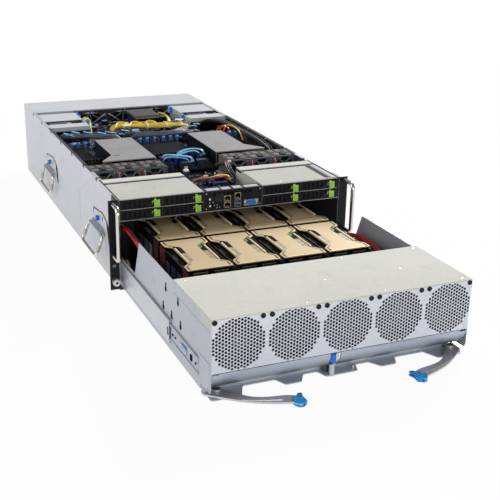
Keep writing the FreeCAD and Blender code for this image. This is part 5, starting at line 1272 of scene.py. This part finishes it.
class ServerLeads(ServerPiece):
    """Yellow power bundle, braided loops, wall lead, tags and ties of the upper level."""
    bl_idname = "server.leads"
    bl_label = "Upper leads"

    def make(self):
        self.yellow()
        self.black()
        self.colours()

    def yellow(self):
        dice = random.Random(5)
        run = ((-46, 597), (-22, 584), (12, 575), (52, 571), (94, 567))
        routes = []
        for index in range(13):
            shift = 1.9 * index
            lift = 3.2 * math.sin(index * 2.4)
            route = [(-66, 602 + shift, 147), (-66, 602 + shift, 158)]
            for step, (x, y) in enumerate(run):
                route.append((x + dice.uniform(-2, 2), y + shift + dice.uniform(-2.5, 2.5),
                              163.5 + lift * math.cos(step * 1.3) + dice.uniform(-1, 1)))
            route += [(118, 557 + shift, 160), (118, 557 + shift, 147)]
            routes.append(route)
        for x, y in ((-40, 604), (-8, 598), (30, 596)):
            routes.append([(x - 22, y - 8, 160), (x - 16, y + 6, 166), (x - 4, y + 18, 169), (x + 10, y + 10, 168),
                           (x + 16, y - 8, 162)])
        routes.append([(76, 610, 147), (76, 612, 160), (80, 622, 167), (86, 650, 169), (87, 690, 168), (82, 720, 163),
                       (79, 726, 147)])
        routes.append([(80, 610, 147), (80, 613, 158), (85, 624, 164), (90, 652, 166), (91, 690, 165), (86, 720, 160),
                       (82, 727, 147)])
        routes.append([(-20, 616, 147), (-20, 617, 158), (2, 630, 162), (36, 634, 160), (60, 632, 156),
                       (62, 632, 147)])
        leads("yellow_leads", "cable_yellow", routes, sizes().yellow_lead * 1000, "chassis",
              ["yellow_cables"])
        ends = [block("part_black", (-72, 598, BOARD_TOP), (-60, 630, 150), 0.8, 2),
                block("part_black", (112, 551, BOARD_TOP), (124, 590, 150), 0.8, 2)]
        for x, y in ((76, 610), (79, 726), (-20, 616), (62, 632)):
            ends.append(block("part_black", (x - 5, y - 5, BOARD_TOP), (x + 6, y + 5, 149), 0.8, 2))
        for x, y, turn in ((-34, 601, 0.6), (14, 586, 0.1), (60, 583, 0), (96, 579, 0)):
            tie = ring("tag_white", (0, 0, 0), 13.6, 0.9, "x", 30, 6)
            tie.data.transform(Matrix.Translation(at(x, y, 164)) @ Matrix.Rotation(-turn, 4, "Z")
                               @ Matrix.Diagonal((1.6, 1.25, 0.48, 1)))
            ends.append(tie)
        for low, turn in (((-44, 566), 0.5), ((88, 596), -0.5)):
            tag = block("tag_white", (0, 0, 170.4), (20, 13, 171), 0.15)
            tag.data.transform(Matrix.Translation(at(*low, 0)) @ Matrix.Rotation(turn, 4, "Z"))
            ends.append(tag)
        hang("yellow_lead_ends", ends, "chassis")

    def black(self):
        radius = sizes().black_lead * 1000
        wall = ((136, 570, 147), (136, 570, 162), (156, 582, 167), (178, 582, 168), (198, 566, 168), (210, 530, 167),
                (212, 466, 167), (214, 400, 168), (212, 330, 167), (206, 268, 163), (205, 268, 147))
        leads("wall_leads", "cable_black", [wall, [(x - 6.2, y, z - 1) for x, y, z in wall]], 3.1, "chassis",
              ["black_cables"])
        loops = (((-59, 532), (-30, 511), (14, 494), (50, 496), (74, 516), (97, 533), (119, 540)),
                 ((-44, 511), (-22, 497), (14, 485.5), (50, 487), (76, 499), (97, 520)),
                 ((-59, 490), (-34, 483), (14, 477), (50, 478.5), (80, 486), (119, 504)))
        routes, plugs = [], []
        for start, *run, end in loops:
            for shift, lift in ((-2.7, 0), (2.7, 1.4), (0, -4.6)):
                routes.append([(start[0] + shift, start[1], 146), (start[0] + shift, start[1], 162 + lift)]
                              + [(x, y + shift, 165 + lift) for x, y in run]
                              + [(end[0] + shift, end[1], 162 + lift), (end[0] + shift, end[1], 146)])
            plugs += [block("part_black", (x - 6, y - 4, BOARD_TOP), (x + 6, y + 4, 148.6), 0.7)
                      for x, y in (start, end)]
        for index in range(6):
            drop = 5 * index
            routes.append([(-204, 569 - drop, 146), (-204, 569 - drop, 160), (-178, 549 - drop, 165 - index % 2 * 3),
                           (-146, 533 - drop, 164 + index % 3),
                           (-108, 525 - drop, 164 - index % 2 * 4), (-70, 524 - drop, 160), (-70, 524 - drop, 146)])
        plugs += [block("part_black", (-209, 536, BOARD_TOP), (-199, 576, 148.6), 0.7),
                  block("part_black", (-75, 492, BOARD_TOP), (-65, 531, 148.6), 0.7)]
        plugs += [block("part_black", (130, 563, BOARD_TOP), (142, 577, 151), 0.7),
                  block("part_black", (196, 261, BOARD_TOP), (211, 275, 151), 0.7)]
        leads("braided_leads", "lead_blue", routes, radius, "chassis")
        for x, y, z, turn in ((-196, 553, 166, 0.9), (-176, 556, 168, 0.5), (-186, 534, 166, 0.8),
                              (-150, 545, 168, 0.4), (-96, 530, 167, 0.2), (-60, 545, 166, 0.3),
                              (108, 528, 168, -0.4), (122, 545, 168, -0.3), (-40, 520, 168, 0.2),
                              (-120, 528, 168, 0.3)):
            tab = plate("ribbon_sky", [(0, 0), (16, 0), (19, 3.4), (16, 7), (0, 7), (-3, 3.5)], 0, 1.6, "z", 0.5, 2)
            tab.data.transform(Matrix.Translation(at(x, y, z)) @ Matrix.Rotation(-turn, 4, "Z")
                               @ Matrix.Rotation(0.16, 4, "Y"))
            plugs.append(tab)
        for x, y in ((-30, 540), (-14, 545), (0, 536), (24, 538), (-84, 545)):
            plugs.append(block("part_black", (x - 7, y - 6, BOARD_TOP), (x + 7, y + 6, 165), 1.0, 2))
        plugs.append(block("ribbon_sky", (-36, 536, 164.6), (-20, 545, 168), 0.8, 2))
        hang("braided_lead_plugs", plugs, "chassis")

    def colours(self):
        """Thin coloured wires in the front middle, at the right wall and at the left card cage."""
        front = {"wire_orange": ((-46, 118, 152), (-40, 112, 160), (-20, 122, 163), (-2, 112, 162), (6, 114, 156)),
                 "lead_blue": ((-30, 116, 150), (-24, 114, 158), (0, 114, 163), (24, 118, 163), (40, 124, 160),
                               (44, 134, 150)),
                 "cable_yellow": ((8, 128, 158), (14, 122, 165.6), (26, 114, 166.4), (36, 110, 164), (38, 110, 156)),
                 "cable_red": ((-14, 124, 152), (-8, 116, 161), (12, 109, 164), (30, 112, 162), (36, 120, 152)),
                 "tag_white": ((-10, 132, 152), (0, 120, 162), (18, 116, 165), (34, 120, 163), (40, 130, 154))}
        for name, route in front.items():
            twin = [(x + 2, y + 4, z - 1) for x, y, z in route]
            leads("front_wire_" + name, name, [route, twin], 1.5, "chassis")
        dice = random.Random(23)
        standing = []
        for _ in range(8):
            u, v = dice.uniform(-5, 5), dice.uniform(-4, 4)
            standing.append([(60 + u, 134 + v, 146), (57 + u, 150 + v, 158), (55 + u, 168 + v, 168),
                             (58 + u * 0.6, 184 + v, 172), (64 + u, 200 + v, 166), (62 + u, 250 + v, 150)])
        leads("standing_wires", "cable_black", standing, 1.3, "chassis")
        for finish, count in (("part_black", 12), ("lead_blue", 6), ("socket_blue", 3)):
            tangle = []
            for _ in range(count):
                x, y = dice.uniform(-46, 20), dice.uniform(22, 168)
                run = [(x, y, 143)]
                for step in range(4):
                    run.append((x + 9 * step + dice.uniform(-9, 9), y + dice.uniform(-16, 16),
                                dice.uniform(148, 160)))
                tangle.append(run + [(run[-1][0] + 2, run[-1][1], 143)])
            leads("front_tangle_" + finish, finish, tangle, 1.3, "chassis")
        cap = [drum("tag_white", (66, 184, 170.6), 3.6, 4, "z", 20, 0.8)]
        hang("standing_wire_cap", cap, "chassis")
        right = {"cable_yellow": ((186, 546, 150), (188, 530, 164), (196, 505, 170), (200, 470, 170), (198, 440, 164),
                                  (196, 420, 150)),
                 "cable_red": ((176, 536, 150), (170, 524, 164), (176, 506, 169), (186, 494, 168), (188, 480, 160),
                               (188, 478, 150)),
                 "wire_orange": ((170, 530, 150), (176, 518, 165), (184, 508, 170), (180, 494, 168), (172, 486, 160),
                                 (172, 484, 150)),
                 "wire_violet": ((196, 556, 150), (200, 540, 165), (202, 505, 168), (206, 465, 169), (204, 430, 165),
                                 (203, 416, 150))}
        for name, route in right.items():
            twin = [(x + 2.6, y + 2, z - 0.6) for x, y, z in route]
            leads("right_wire_" + name, name, [route, twin], 1.3, "chassis")
        corner = [((-118, 700, 150), (-116, 698, 166), (-112, 690, 171), (-104, 684, 168), (-100, 676, 158),
                   (-100, 672, 148)),
                  ((-116, 660, 148), (-110, 650, 164), (-114, 636, 170), (-116, 618, 164), (-116, 606, 150))]
        leads("corner_wires", "cable_yellow", corner, 1.6, "chassis")
        hub = [drum("tag_white", (-108, 694, 160), 6.5, 8, "z", 24, 1.0),
               block("clip_blue", (-112, 676, 158), (-104, 682, 166), 0.8, 2)]
        hang("corner_plug", hub, "chassis")


# Walls, rails, handles and tray sheets

class ServerWalls(ServerPiece):
    """Side wall rivets, embossed steps, notches' lips, slots and lifting handle fittings."""
    bl_idname = "server.walls"
    bl_label = "Side walls"

    def make(self):
        parts = []
        handles = (("front", 139, 22), ("rear", 577, 12))
        for side, _ in BOTH:
            parts.append(self.wall(side))
        for side, _ in BOTH:
            for _, middle, _ in handles:
                parts += self.handle_plate(side, middle)
        hang("wall_fittings", parts, "chassis")
        for side, word in BOTH:
            for spot, middle, tilt in handles:
                self.sleeves(side, "%s_%s_bail" % (word, spot), middle, tilt)

    def wall(self, side):
        """Rivets, dimples, the embossed contour, the notches' rims and hooks of one side wall."""
        spots = [(y, z) for y in (48, 250, 330, 430, 520, 640, 720, 800, 862) for z in (12, 126)]
        spots += [(y, 160) for y in (60, 200, 300, 402, 504, 606, 708, 812)]
        heads = rivets("chassis_steel", [(WALL_X, y, z) for y, z in spots], "x", 1.7, 0.35)
        pits = ((294, 84), (196, 92), (300, 148), (402, 148), (504, 148), (655, 92))
        dimples = rivets("slot_black", [(WALL_X - 0.1, y, z) for y, z in pits], "x", 0.9, 0.25)
        contour = [(291.8, 47), (294.6, 47), (294.6, 111.6), (211.4, 151), (210, 148.6), (291.8, 109.8)]
        step = [plate("chassis_steel", contour, 223.9, 224.5, "x", 0.2)]
        notches = ((367, 464), (475, 570), (577, 633), (650, 672), (685, 752), (152, 244), (256, 352))
        rims = [block("chassis_steel", (217.6, start, SHEET_TOP), (WALL_X - 0.2, end, 174.4), 0.4)
                for start, end in notches]
        hooks = series(block("slot_black", (221.6, 143, 168), (WALL_X + 0.3, 144.2, 174), 0.1), 7, (0, 102, 0))
        return on_side(joined("wall", heads + dimples + step + rims + hooks), side)

    def handle_plate(self, side, middle):
        """Slots, rivets, a dark line along the bracket that is partly its outline and partly painted shadow of the
        bail, and blue release of one lifting handle, on the wall.
        """
        parts = []
        for off in (-34, 34):
            curve = [(middle + off + 7 * math.sin(a), 98 + 11 * math.cos(a)) for a in (0.2, 0.7, 1.2, 1.7)]
            curve += [(middle + off + 4.4 * math.sin(a), 98 + 8 * math.cos(a)) for a in (1.7, 1.2, 0.7, 0.2)]
            parts.append(plate("slot_black", curve, WALL_X, WALL_X + 0.25, "x"))
        # Dark line on the wall: partly the outline of the handle's bracket, partly painted shadow of the bail.
        bail_shadow_outline = [(34, 110), (8, 112), (-30, 117), (-60, 109), (-72, 101), (-74.6, 84), (-74.6, 67)]
        bail_shadow_outline = [(middle + y, z) for y, z in bail_shadow_outline] + [(middle + y - 1.8, z - 1.6) for y, z in bail_shadow_outline[::-1]]
        parts.append(plate("steel_dark", bail_shadow_outline, WALL_X, WALL_X + 1.2, "x"))
        parts.append(drum("clip_blue", (WALL_X, middle, 97), 5.4, 6.2, "x", 28, 1.2))
        for y, z in ((middle - 36, 73), (middle + 36, 73), (middle, 71)):
            parts.append(drum("tin", (WALL_X + 1.4, y, z), 1.5, 0.5, "x", 14, 0.2))
        parts.append(block("chassis_steel", (WALL_X + 0.05, middle - 46, 60), (WALL_X + 0.5, middle + 46, 67), 0.2))
        parts += [drum("slot_black", (WALL_X + 0.2, middle + off, 63.5), 1.6, 0.5, "x", 14, 0) for off in (-14, 14)]
        return [on_side(part, side) for part in parts]

    def sleeves(self, side, body, middle, tilt):
        """Beige bands of painted highlight and grip rings that ride on the moving handle."""
        x, top = 229.58, 77
        parts = []
        for y in (middle - 52, middle + 52):
            # Beige drums on the chrome legs: painted highlight of the bail.
            parts.append(drum("beige_rim", (x, y, top - 33), 3.5, 14, "z", 24, 0.8))
            parts.append(drum("tin", (x, y, top - 13), 3.4, 3, "z", 24, 0.5))
        made = joined("bands", parts)
        hinge = Matrix.Translation(at(x, 0, top))
        made.data.transform(hinge @ Matrix.Rotation(math.radians(-tilt), 4, "Y") @ hinge.inverted())
        hang(body + "_bands", [on_side(made, side)], body)


class ServerFrontHardware(ServerPiece):
    """Trim on the ears' heads and the knurled heads of the thumb screws."""
    bl_idname = "server.front_hardware"
    bl_label = "Ears and screws"

    def make(self):
        parts = []
        for side in (-1, 1):
            low, high = span(side, 224.2, 241.2)
            parts.append(block("ear_black", (low, -2.3, 171.8), (high, -0.2, 173.9), 0.4))
        hang("ear_hardware", parts, "chassis")
        for side, word in BOTH:
            x, z = side * SCREW[0], SCREW[1]
            ridge = block("tin", (x - 0.35, -13.6, z + 6.3), (x + 0.35, -4, z + 7.1), 0.15)
            spin = Matrix.Translation(at(x, 0, z))
            knurls = []
            teeth = 28
            for turn in range(teeth):
                tooth = copies(ridge, (0, 0, 0))[1]
                tooth.data.transform(spin @ Matrix.Rotation(turn * math.tau / teeth, 4, "Y") @ spin.inverted())
                knurls.append(tooth)
            bpy.data.objects.remove(ridge)
            knurls.append(drum("tin", (x, -15.4, z), 5.6, 1.2, "y", 28, 0.5))
            knurls.append(ring("tin", (x, -14.5, z), 6.0, 0.6, "y", 28, 8))
            knurls.append(drum("slot_black", (x, -15.7, z), 2.6, 0.5, "y", 6, 0))
            hang(word + "_screw_knurl", knurls, word + "_thumb_screw")


class ServerTray(ServerPiece):
    """Front sheets, wall fittings and floor of the tray, its levers, rails, leads and fans."""
    bl_idname = "server.tray"
    bl_label = "Tray and rails"

    def make(self):
        self.front_sheets()
        self.walls()
        self.levers()
        self.rails()
        self.leads()
        self.fans()

    def front_sheets(self):
        lip = [(27.5, -442.4), (33.4, -423.6), (56.4, -423.6), (68.6, -443.4), (95.4, -443.4), (104.4, -423.6),
               (156.6, -423.6), (168.6, -450.4), (215.6, -450.4), (215.6, -418.6), (27.5, -418.6)]
        lip = lip + [(-x, y) for x, y in reversed(lip)]
        parts = [plate("lip_steel", lip, 4.5, 4.75, "z")]
        front, back = ([(-418 - radius * math.cos(0.1 + 0.14 * k), 47 - radius * math.sin(0.1 + 0.14 * k))
                        for k in range(10)] for radius in (33.65, 33.3))
        for low, high in ((-216.2, -26), (-8, 216.2)):
            parts.append(plate("valance_steel", front + back[::-1], low, high, "x"))
        parts += blocks(("valance_steel", (-27, -433, 6), (-7, -431.8, 46.8), 0.3),
                        # Dark line at the valance's foot: painted shadow in the crease between valance and lip.
                        ("slot_black", (-204, -421, 13.2), (204, -420.2, 14.4), 0.1),
                        ("steel_dark", (-216, -452.2, 46.1), (216, -450.9, 47.2), 0.2))
        cheek = [(-451.9, 60), (-451.9, 21), (-449, 15), (-442, 12.7), (-400, 12.7), (-400, 60)]
        cheek = plate("tray_steel", cheek, TRAY_X, TRAY_X + 0.5, "x", 0.15)
        parts += [cheek, mirrored(cheek)]
        for x in (-150, -118, -84, -50, 50, 84, 118, 150, 190, -190):
            parts += rivets("tin", [(x, -421 if abs(x) < 160 else -430, 4.7)], "z", 1.6, 0.4)
        hang("tray_front_sheets", parts, "tray")
        knob = [drum("lock_blue", (-17, -440, 26.6), 4.6, 4.4, "z", 24, 0.8, 6.2),
                drum("lock_blue", (-17, -440, 39.6), 5.4, 1.8, "z", 24, 0.6, 4.4)]
        knob += [drum("lock_blue", (-17, -440, 30.4 + 2.6 * k), 6.25, 1.1, "z", 28, 0.4) for k in range(4)]
        hang("lock_knob_ridges", knob, "lock_pin")
        hang("lock_post", [ring("tin", (-17, -440, 22.8), 5.2, 0.7, "z", 28, 8)], "tray")

    def walls(self):
        parts = []
        for side in (-1, 1):
            low, high = span(side, TRAY_X, TRAY_X + 0.35)
            dots = [(TRAY_X, y, 58) for y in (-412, -330, -252, -180, -96, -20, 60)]
            dots += [(TRAY_X, y, 122) for y in (-276, -210, -150, -120)]
            parts += [on_side(head, side) for head in rivets("tin", dots, "x", 1.7, 0.4)]
            for y, z in ((-321, 66), (-279, 66), (-238, 66), (-310, 101), (-251, 102)):
                hole = [(y + 4.2 * math.sin(a), z - 2 - 4.2 * math.cos(a))
                        for a in [-2.5 + 0.5 * k for k in range(11)]]
                face = low if side < 0 else high - 0.2
                parts.append(plate("slot_black", hole + [(y + 1.9, z + 9), (y - 1.9, z + 9)], face, face + 0.2, "x"))
            parts.append(block("tray_steel", (low, -446, 109), (high, -290, 110.2), 0.12))
            inside = span(side, 215.9, 216.25)
            parts += blocks(("tray_steel", (inside[0], -284, 122), (inside[1], -112, 126.4), 0.12),
                            ("slot_black", (inside[0], -262, 60), (inside[1], -238, 88), 0.1))
        hang("tray_wall_fittings", parts, "tray")
        floor = [block("steel_dark", (-214, -286, 4.5), (214, -240, 5), 0.1),
                 block("part_black", (-206, -300, 4.6), (206, -292, 12), 0.6)]
        for x in (-150, -90, -30, 30, 90, 150):
            floor += blocks(("charcoal", (x - 18, -284, 5), (x + 18, -252, 20), 1.2, 2),
                            ("clip_blue", (x - 6, -280, 20), (x + 6, -270, 24), 0.8, 2),
                            ("tin", (x - 14, -262, 20), (x + 14, -255, 22), 0.5))
        hang("tray_floor_parts", floor, "tray")

    def levers(self):
        for side, word in BOTH:
            def place(along, out, z):
                return (side * (202 - along), -433 + out, z)
            ridge = [place(24, -40, 10.2), place(52, -54, 10.4), place(78, -60, 10.3)]
            trim = [drum("tin", place(0, 0, 12.4), 5.2, 0.8, "z", 28, 0.3),
                    ring("tin", place(0, 0, 12.5), 6.0, 0.5, "z", 28, 6)]
            hang(word + "_pivot_trim", trim, "tray")
            leads(word + "_lever_bead", "lever_steel", [ridge], 1.3, word + "_pull_lever")
            outline = [(90.3, -64.2), (94.4, -59.5), (100.5, -58.6), (102.8, -54.7), (106.8, -52.3), (111.7, -54.2),
                       (108.6, -64.6), (109.5, -77.1), (101.5, -82.6), (94.8, -80.8), (91.4, -75.6), (89.9, -69.6)]
            core = [(104, -82), (109, -77), (108, -64), (104, -58), (95, -61), (94, -74), (100, -78)]
            # Beige strip along the grip's lower edge: painted highlight.
            grip_highlight_strip = [(90.4, -68), (90.6, -71), (92, -75.8), (95.4, -79.8), (100.4, -81.4), (100.4, -78), (93, -72),
                     (93, -68)]
            layers = (("grip_blue", outline, 9.6, 12.2, 0.7), ("grip_blue", outline, 4.8, 7.3, 0.7),
                      ("grip_blue", core, 7, 9.8, 0), ("beige_rim", grip_highlight_strip, 7.4, 9.5, 0.2),
                      ("slot_black", [(100, -81.2), (104.2, -81), (104.2, -78), (100, -78)], 7.3, 9.6, 0))
            shell = [plate(finish, [place(*spot, 0)[:2] for spot in rim], low, high, "z", edge, 2)
                     for finish, rim, low, high, edge in layers]
            shell.append(drum("tin", place(95.6, -66, 12), 1.9, 0.6, "z", 16, 0.2))
            hang(word + "_grip", shell, word + "_pull_lever", [word + "_lever_grip"])

    def rails(self):
        for side, word in BOTH:
            low, high = span(side, 218.8, 219.9)
            parts = blocks(("clip_blue", (low, -351, 33), (high, -332, 43.5), 0.4, 2),
                           ("slot_black", (low, -376, 32), (high - 0.2, -369, 42), 0.1),
                           ("tin", (low, -330, 36), (high, -322, 40), 0.3))
            parts += [drum("slot_black", (low if side < 0 else high - 0.6, y, 37), 2.1, 0.6, "x", 16, 0)
                      for y in (-392, -300, -288)]
            hang(word + "_rail_catch", parts, "tray")
            low, high = span(side, 220.4, 221.6)
            end = [block("rail_steel", (low, -275.8, 21), (high, -262, 53), 0.3),
                   block("slot_black", (low - 0.1, -274, 30), (high + 0.1, -268, 44), 0.3)]
            end += [drum("tin", (low if side < 0 else high - 0.5, y, z), 1.7, 0.5, "x", 14, 0.1)
                    for y in (-250, -190, -120, -60) for z in (31, 43)]
            hang(word + "_member_end", end, word + "_member")

    def leads(self):
        """Power leads and thin wires beside the modules."""
        table = (("cable_red", -1, 2.7, ((20, 186, 32), (20, 188, 60), (19, 206, 84), (15, 246, 94), (14, 300, 97),
                                         (15, 350, 93), (20, 392, 76), (24, 418, 60), (24, 420, 32))),
                 ("cable_black", -1, 2.9, ((34, 188, 28), (34, 190, 50), (31, 210, 68), (26, 248, 82), (24, 300, 85),
                                           (25, 350, 81), (30, 392, 62), (36, 414, 48), (36, 416, 28))),
                 ("cable_red", 1, 2.6, ((26, 190, 32), (26, 192, 66), (22, 212, 86), (15, 250, 96), (12, 300, 98),
                                        (14, 350, 93), (19, 394, 76), (19, 396, 32))),
                 ("cable_black", 1, 1.9, ((10, 152, 20), (10, 154, 92), (7, 172, 110), (6, 194, 118), (9, 212, 106),
                                          (12, 226, 90), (12, 228, 20))),
                 ("cable_red", -1, 1.5, ((6, 152, 20), (6, 154, 50), (6, 170, 66), (7, 196, 52), (9, 222, 36),
                                         (9, 224, 20))),
                 ("cable_red", -1, 2.8, ((14, 300, 14), (13, 320, 66), (10, 350, 98), (7.5, 382, 112), (6, 420, 117),
                                         (5.5, 460, 120), (6, 500, 110), (8, 522, 60), (8, 524, 14))),
                 ("cable_black", -1, 3.2, ((24, 300, 14), (22, 322, 60), (18, 356, 92), (15, 386, 104),
                                           (12, 420, 111), (11, 460, 114), (12, 500, 104), (15, 520, 50),
                                           (15, 522, 14))),
                 ("cable_yellow", -1, 1.8, ((5, 408, 14), (5, 412, 40), (4.5, 424, 56), (4.5, 440, 62), (7, 462, 52),
                                            (8, 476, 30), (8, 478, 14))))
        ends = []
        for index, (finish, side, radius, run) in enumerate(table):
            route = [(side * (216.3 - gap), FACE_Y + behind, z) for gap, behind, z in run]
            twin = [(x - side * 3.2, y + 2, z - 2.4) for x, y, z in route]
            routes = [route, twin] if radius > 2 else [route]
            leads("tray_lead_%d" % index, finish, routes, radius, "tray",
                  ["tray_cables"] if index == 0 else [])
            for x, y, z in (route[0], route[-1]):
                ends.append(block("part_black", (x - 5, y - 5, 4.5), (x + 5, y + 5, z + 2), 0.8, 2))
        hang("tray_lead_plugs", ends, "tray")

    def fans(self):
        """Hub caps with a ring on each tray fan, and the frames' corner screws."""
        for number in range(1, 6):
            x = (number - 3) * FAN_PITCH
            parts = [drum("charcoal", (x, -448.5, FAN_LEVEL), 15.4, 0.8, "y", 36, 0.3),
                     ring("rotor_black", (x, -448.7, FAN_LEVEL), 12, 0.4, "y", 36, 6)]
            hang("fan_cap_%d" % number, parts, "fan_rotor_%d" % number)
        screws = [drum("tin", (x * FAN_PITCH + u, -413.4, FAN_LEVEL + v), 3, 1, "y", 16, 0.3)
                  for x in range(-2, 3) for u in (-35, 35) for v in (-35, 35)]
        hang("fan_frame_screws", screws, "tray")


class ServerRear(ServerPiece):
    """Rear wall: vent meshes, power supply handles and inlets, card slot brackets."""
    bl_idname = "server.rear"
    bl_label = "Rear side"

    def make(self):
        parts = []
        for x in (-84, 0, 84):
            for row in range(4):
                low = 24 + 34 * row
                parts += series(block("steel_dark", (x - 38, 879, low), (x - 37, 879.8, low + 26), 0), 17,
                                (4.6, 0, 0))
                parts += series(block("steel_dark", (x - 38, 879, low + 5), (x + 38, 879.8, low + 6), 0), 4,
                                (0, 0, 5.2))
        for side in (-1, 1):
            middle = side * 179.05
            for level in range(2):
                low = 1.5 + 40.6 * level
                parts.append(ring("tin", (middle - side * 14, 880.4, low + 20), 15.5, 0.6, "y", 32, 6))
                parts += [ring("tin", (middle - side * 14, 880.4, low + 20), r, 0.5, "y", 28, 6) for r in (11, 6.5)]
                parts.append(drum("charcoal", (middle - side * 14, 879.6, low + 20), 5, 1, "y", 24, 0.3))
                low_x, high_x = sorted((middle + side * 12, middle + side * 30))
                parts.append(block("part_black", (low_x, 876, low + 10), (high_x, 880.2, low + 28), 0.6))
                parts += series(block("beige_rim", (low_x + 4, 879, low + 15), (low_x + 5, 880.4, low + 22), 0.1),
                                3, (4.6, 0, 0))
                parts.append(drum("latch_green", (middle + side * 33, 880, low + 36), 1.6, 0.6, "y", 14, 0.2))
                grip = sorted((middle + side * 1.4, middle + side * 6.6))
                parts += blocks(("part_black", (grip[0], 890, low + 6), (grip[1], 895.4, low + 34), 1.6, 3),
                                ("latch_green", (grip[0] - 5, 880.2, low + 2), (grip[0] + 3, 883, low + 7), 0.7, 2))
            for index in range(3):
                a, b = span(side, 135.6 + 28 * index, 148.4 + 28 * index)
                parts.append(block("card_steel", (a, 878.9, 141.6), (b, 879.9, 168.4), 0.3))
                parts += series(block("slot_black", (a + 2, 879.8, 144), (b - 2, 880.1, 145.4), 0), 7, (0, 0, 3.4))
        parts += [drum("tin", (x, REAR_Y, z), 2, 0.7, "y", 16, 0.3)
                  for x in (-218, -126, 126, 218) for z in (90, 130)]
        hang("rear_fittings", parts, "chassis")


# Panel and making

PIECES = (ServerStudio, ServerFinishes, ServerFanBox, ServerModules, ServerDrives, ServerPanelParts, ServerBoards,
          ServerAir, ServerRearBay, ServerLeads, ServerWalls, ServerFrontHardware, ServerTray, ServerRear)


class ServerPanel(bpy.types.Panel):
    """Lists the steps that make the server's looks."""
    bl_idname = "VIEW3D_PT_server"
    bl_label = "Rack server"
    bl_space_type = "VIEW_3D"
    bl_region_type = "UI"
    bl_category = "Server"

    def draw(self, context):
        for group in (context.scene.server_sizes, context.scene.server_colours):
            for name in type(group).__annotations__:
                self.layout.prop(group, name)
        for piece in PIECES:
            self.layout.operator(piece.bl_idname)


CLASSES = (ServerSizes, ServerColours, *PIECES, ServerPanel)


def register():
    for part in CLASSES:
        bpy.utils.register_class(part)
    bpy.types.Scene.server_sizes = bpy.props.PointerProperty(type=ServerSizes)
    bpy.types.Scene.server_colours = bpy.props.PointerProperty(type=ServerColours)


def unregister():
    del bpy.types.Scene.server_sizes
    del bpy.types.Scene.server_colours
    for part in reversed(CLASSES):
        bpy.utils.unregister_class(part)


def main():
    register()
    random.seed(4)
    for piece in PIECES:
        getattr(bpy.ops.server, piece.bl_idname.split(".")[1])()


if __name__ == "__main__":
    main()
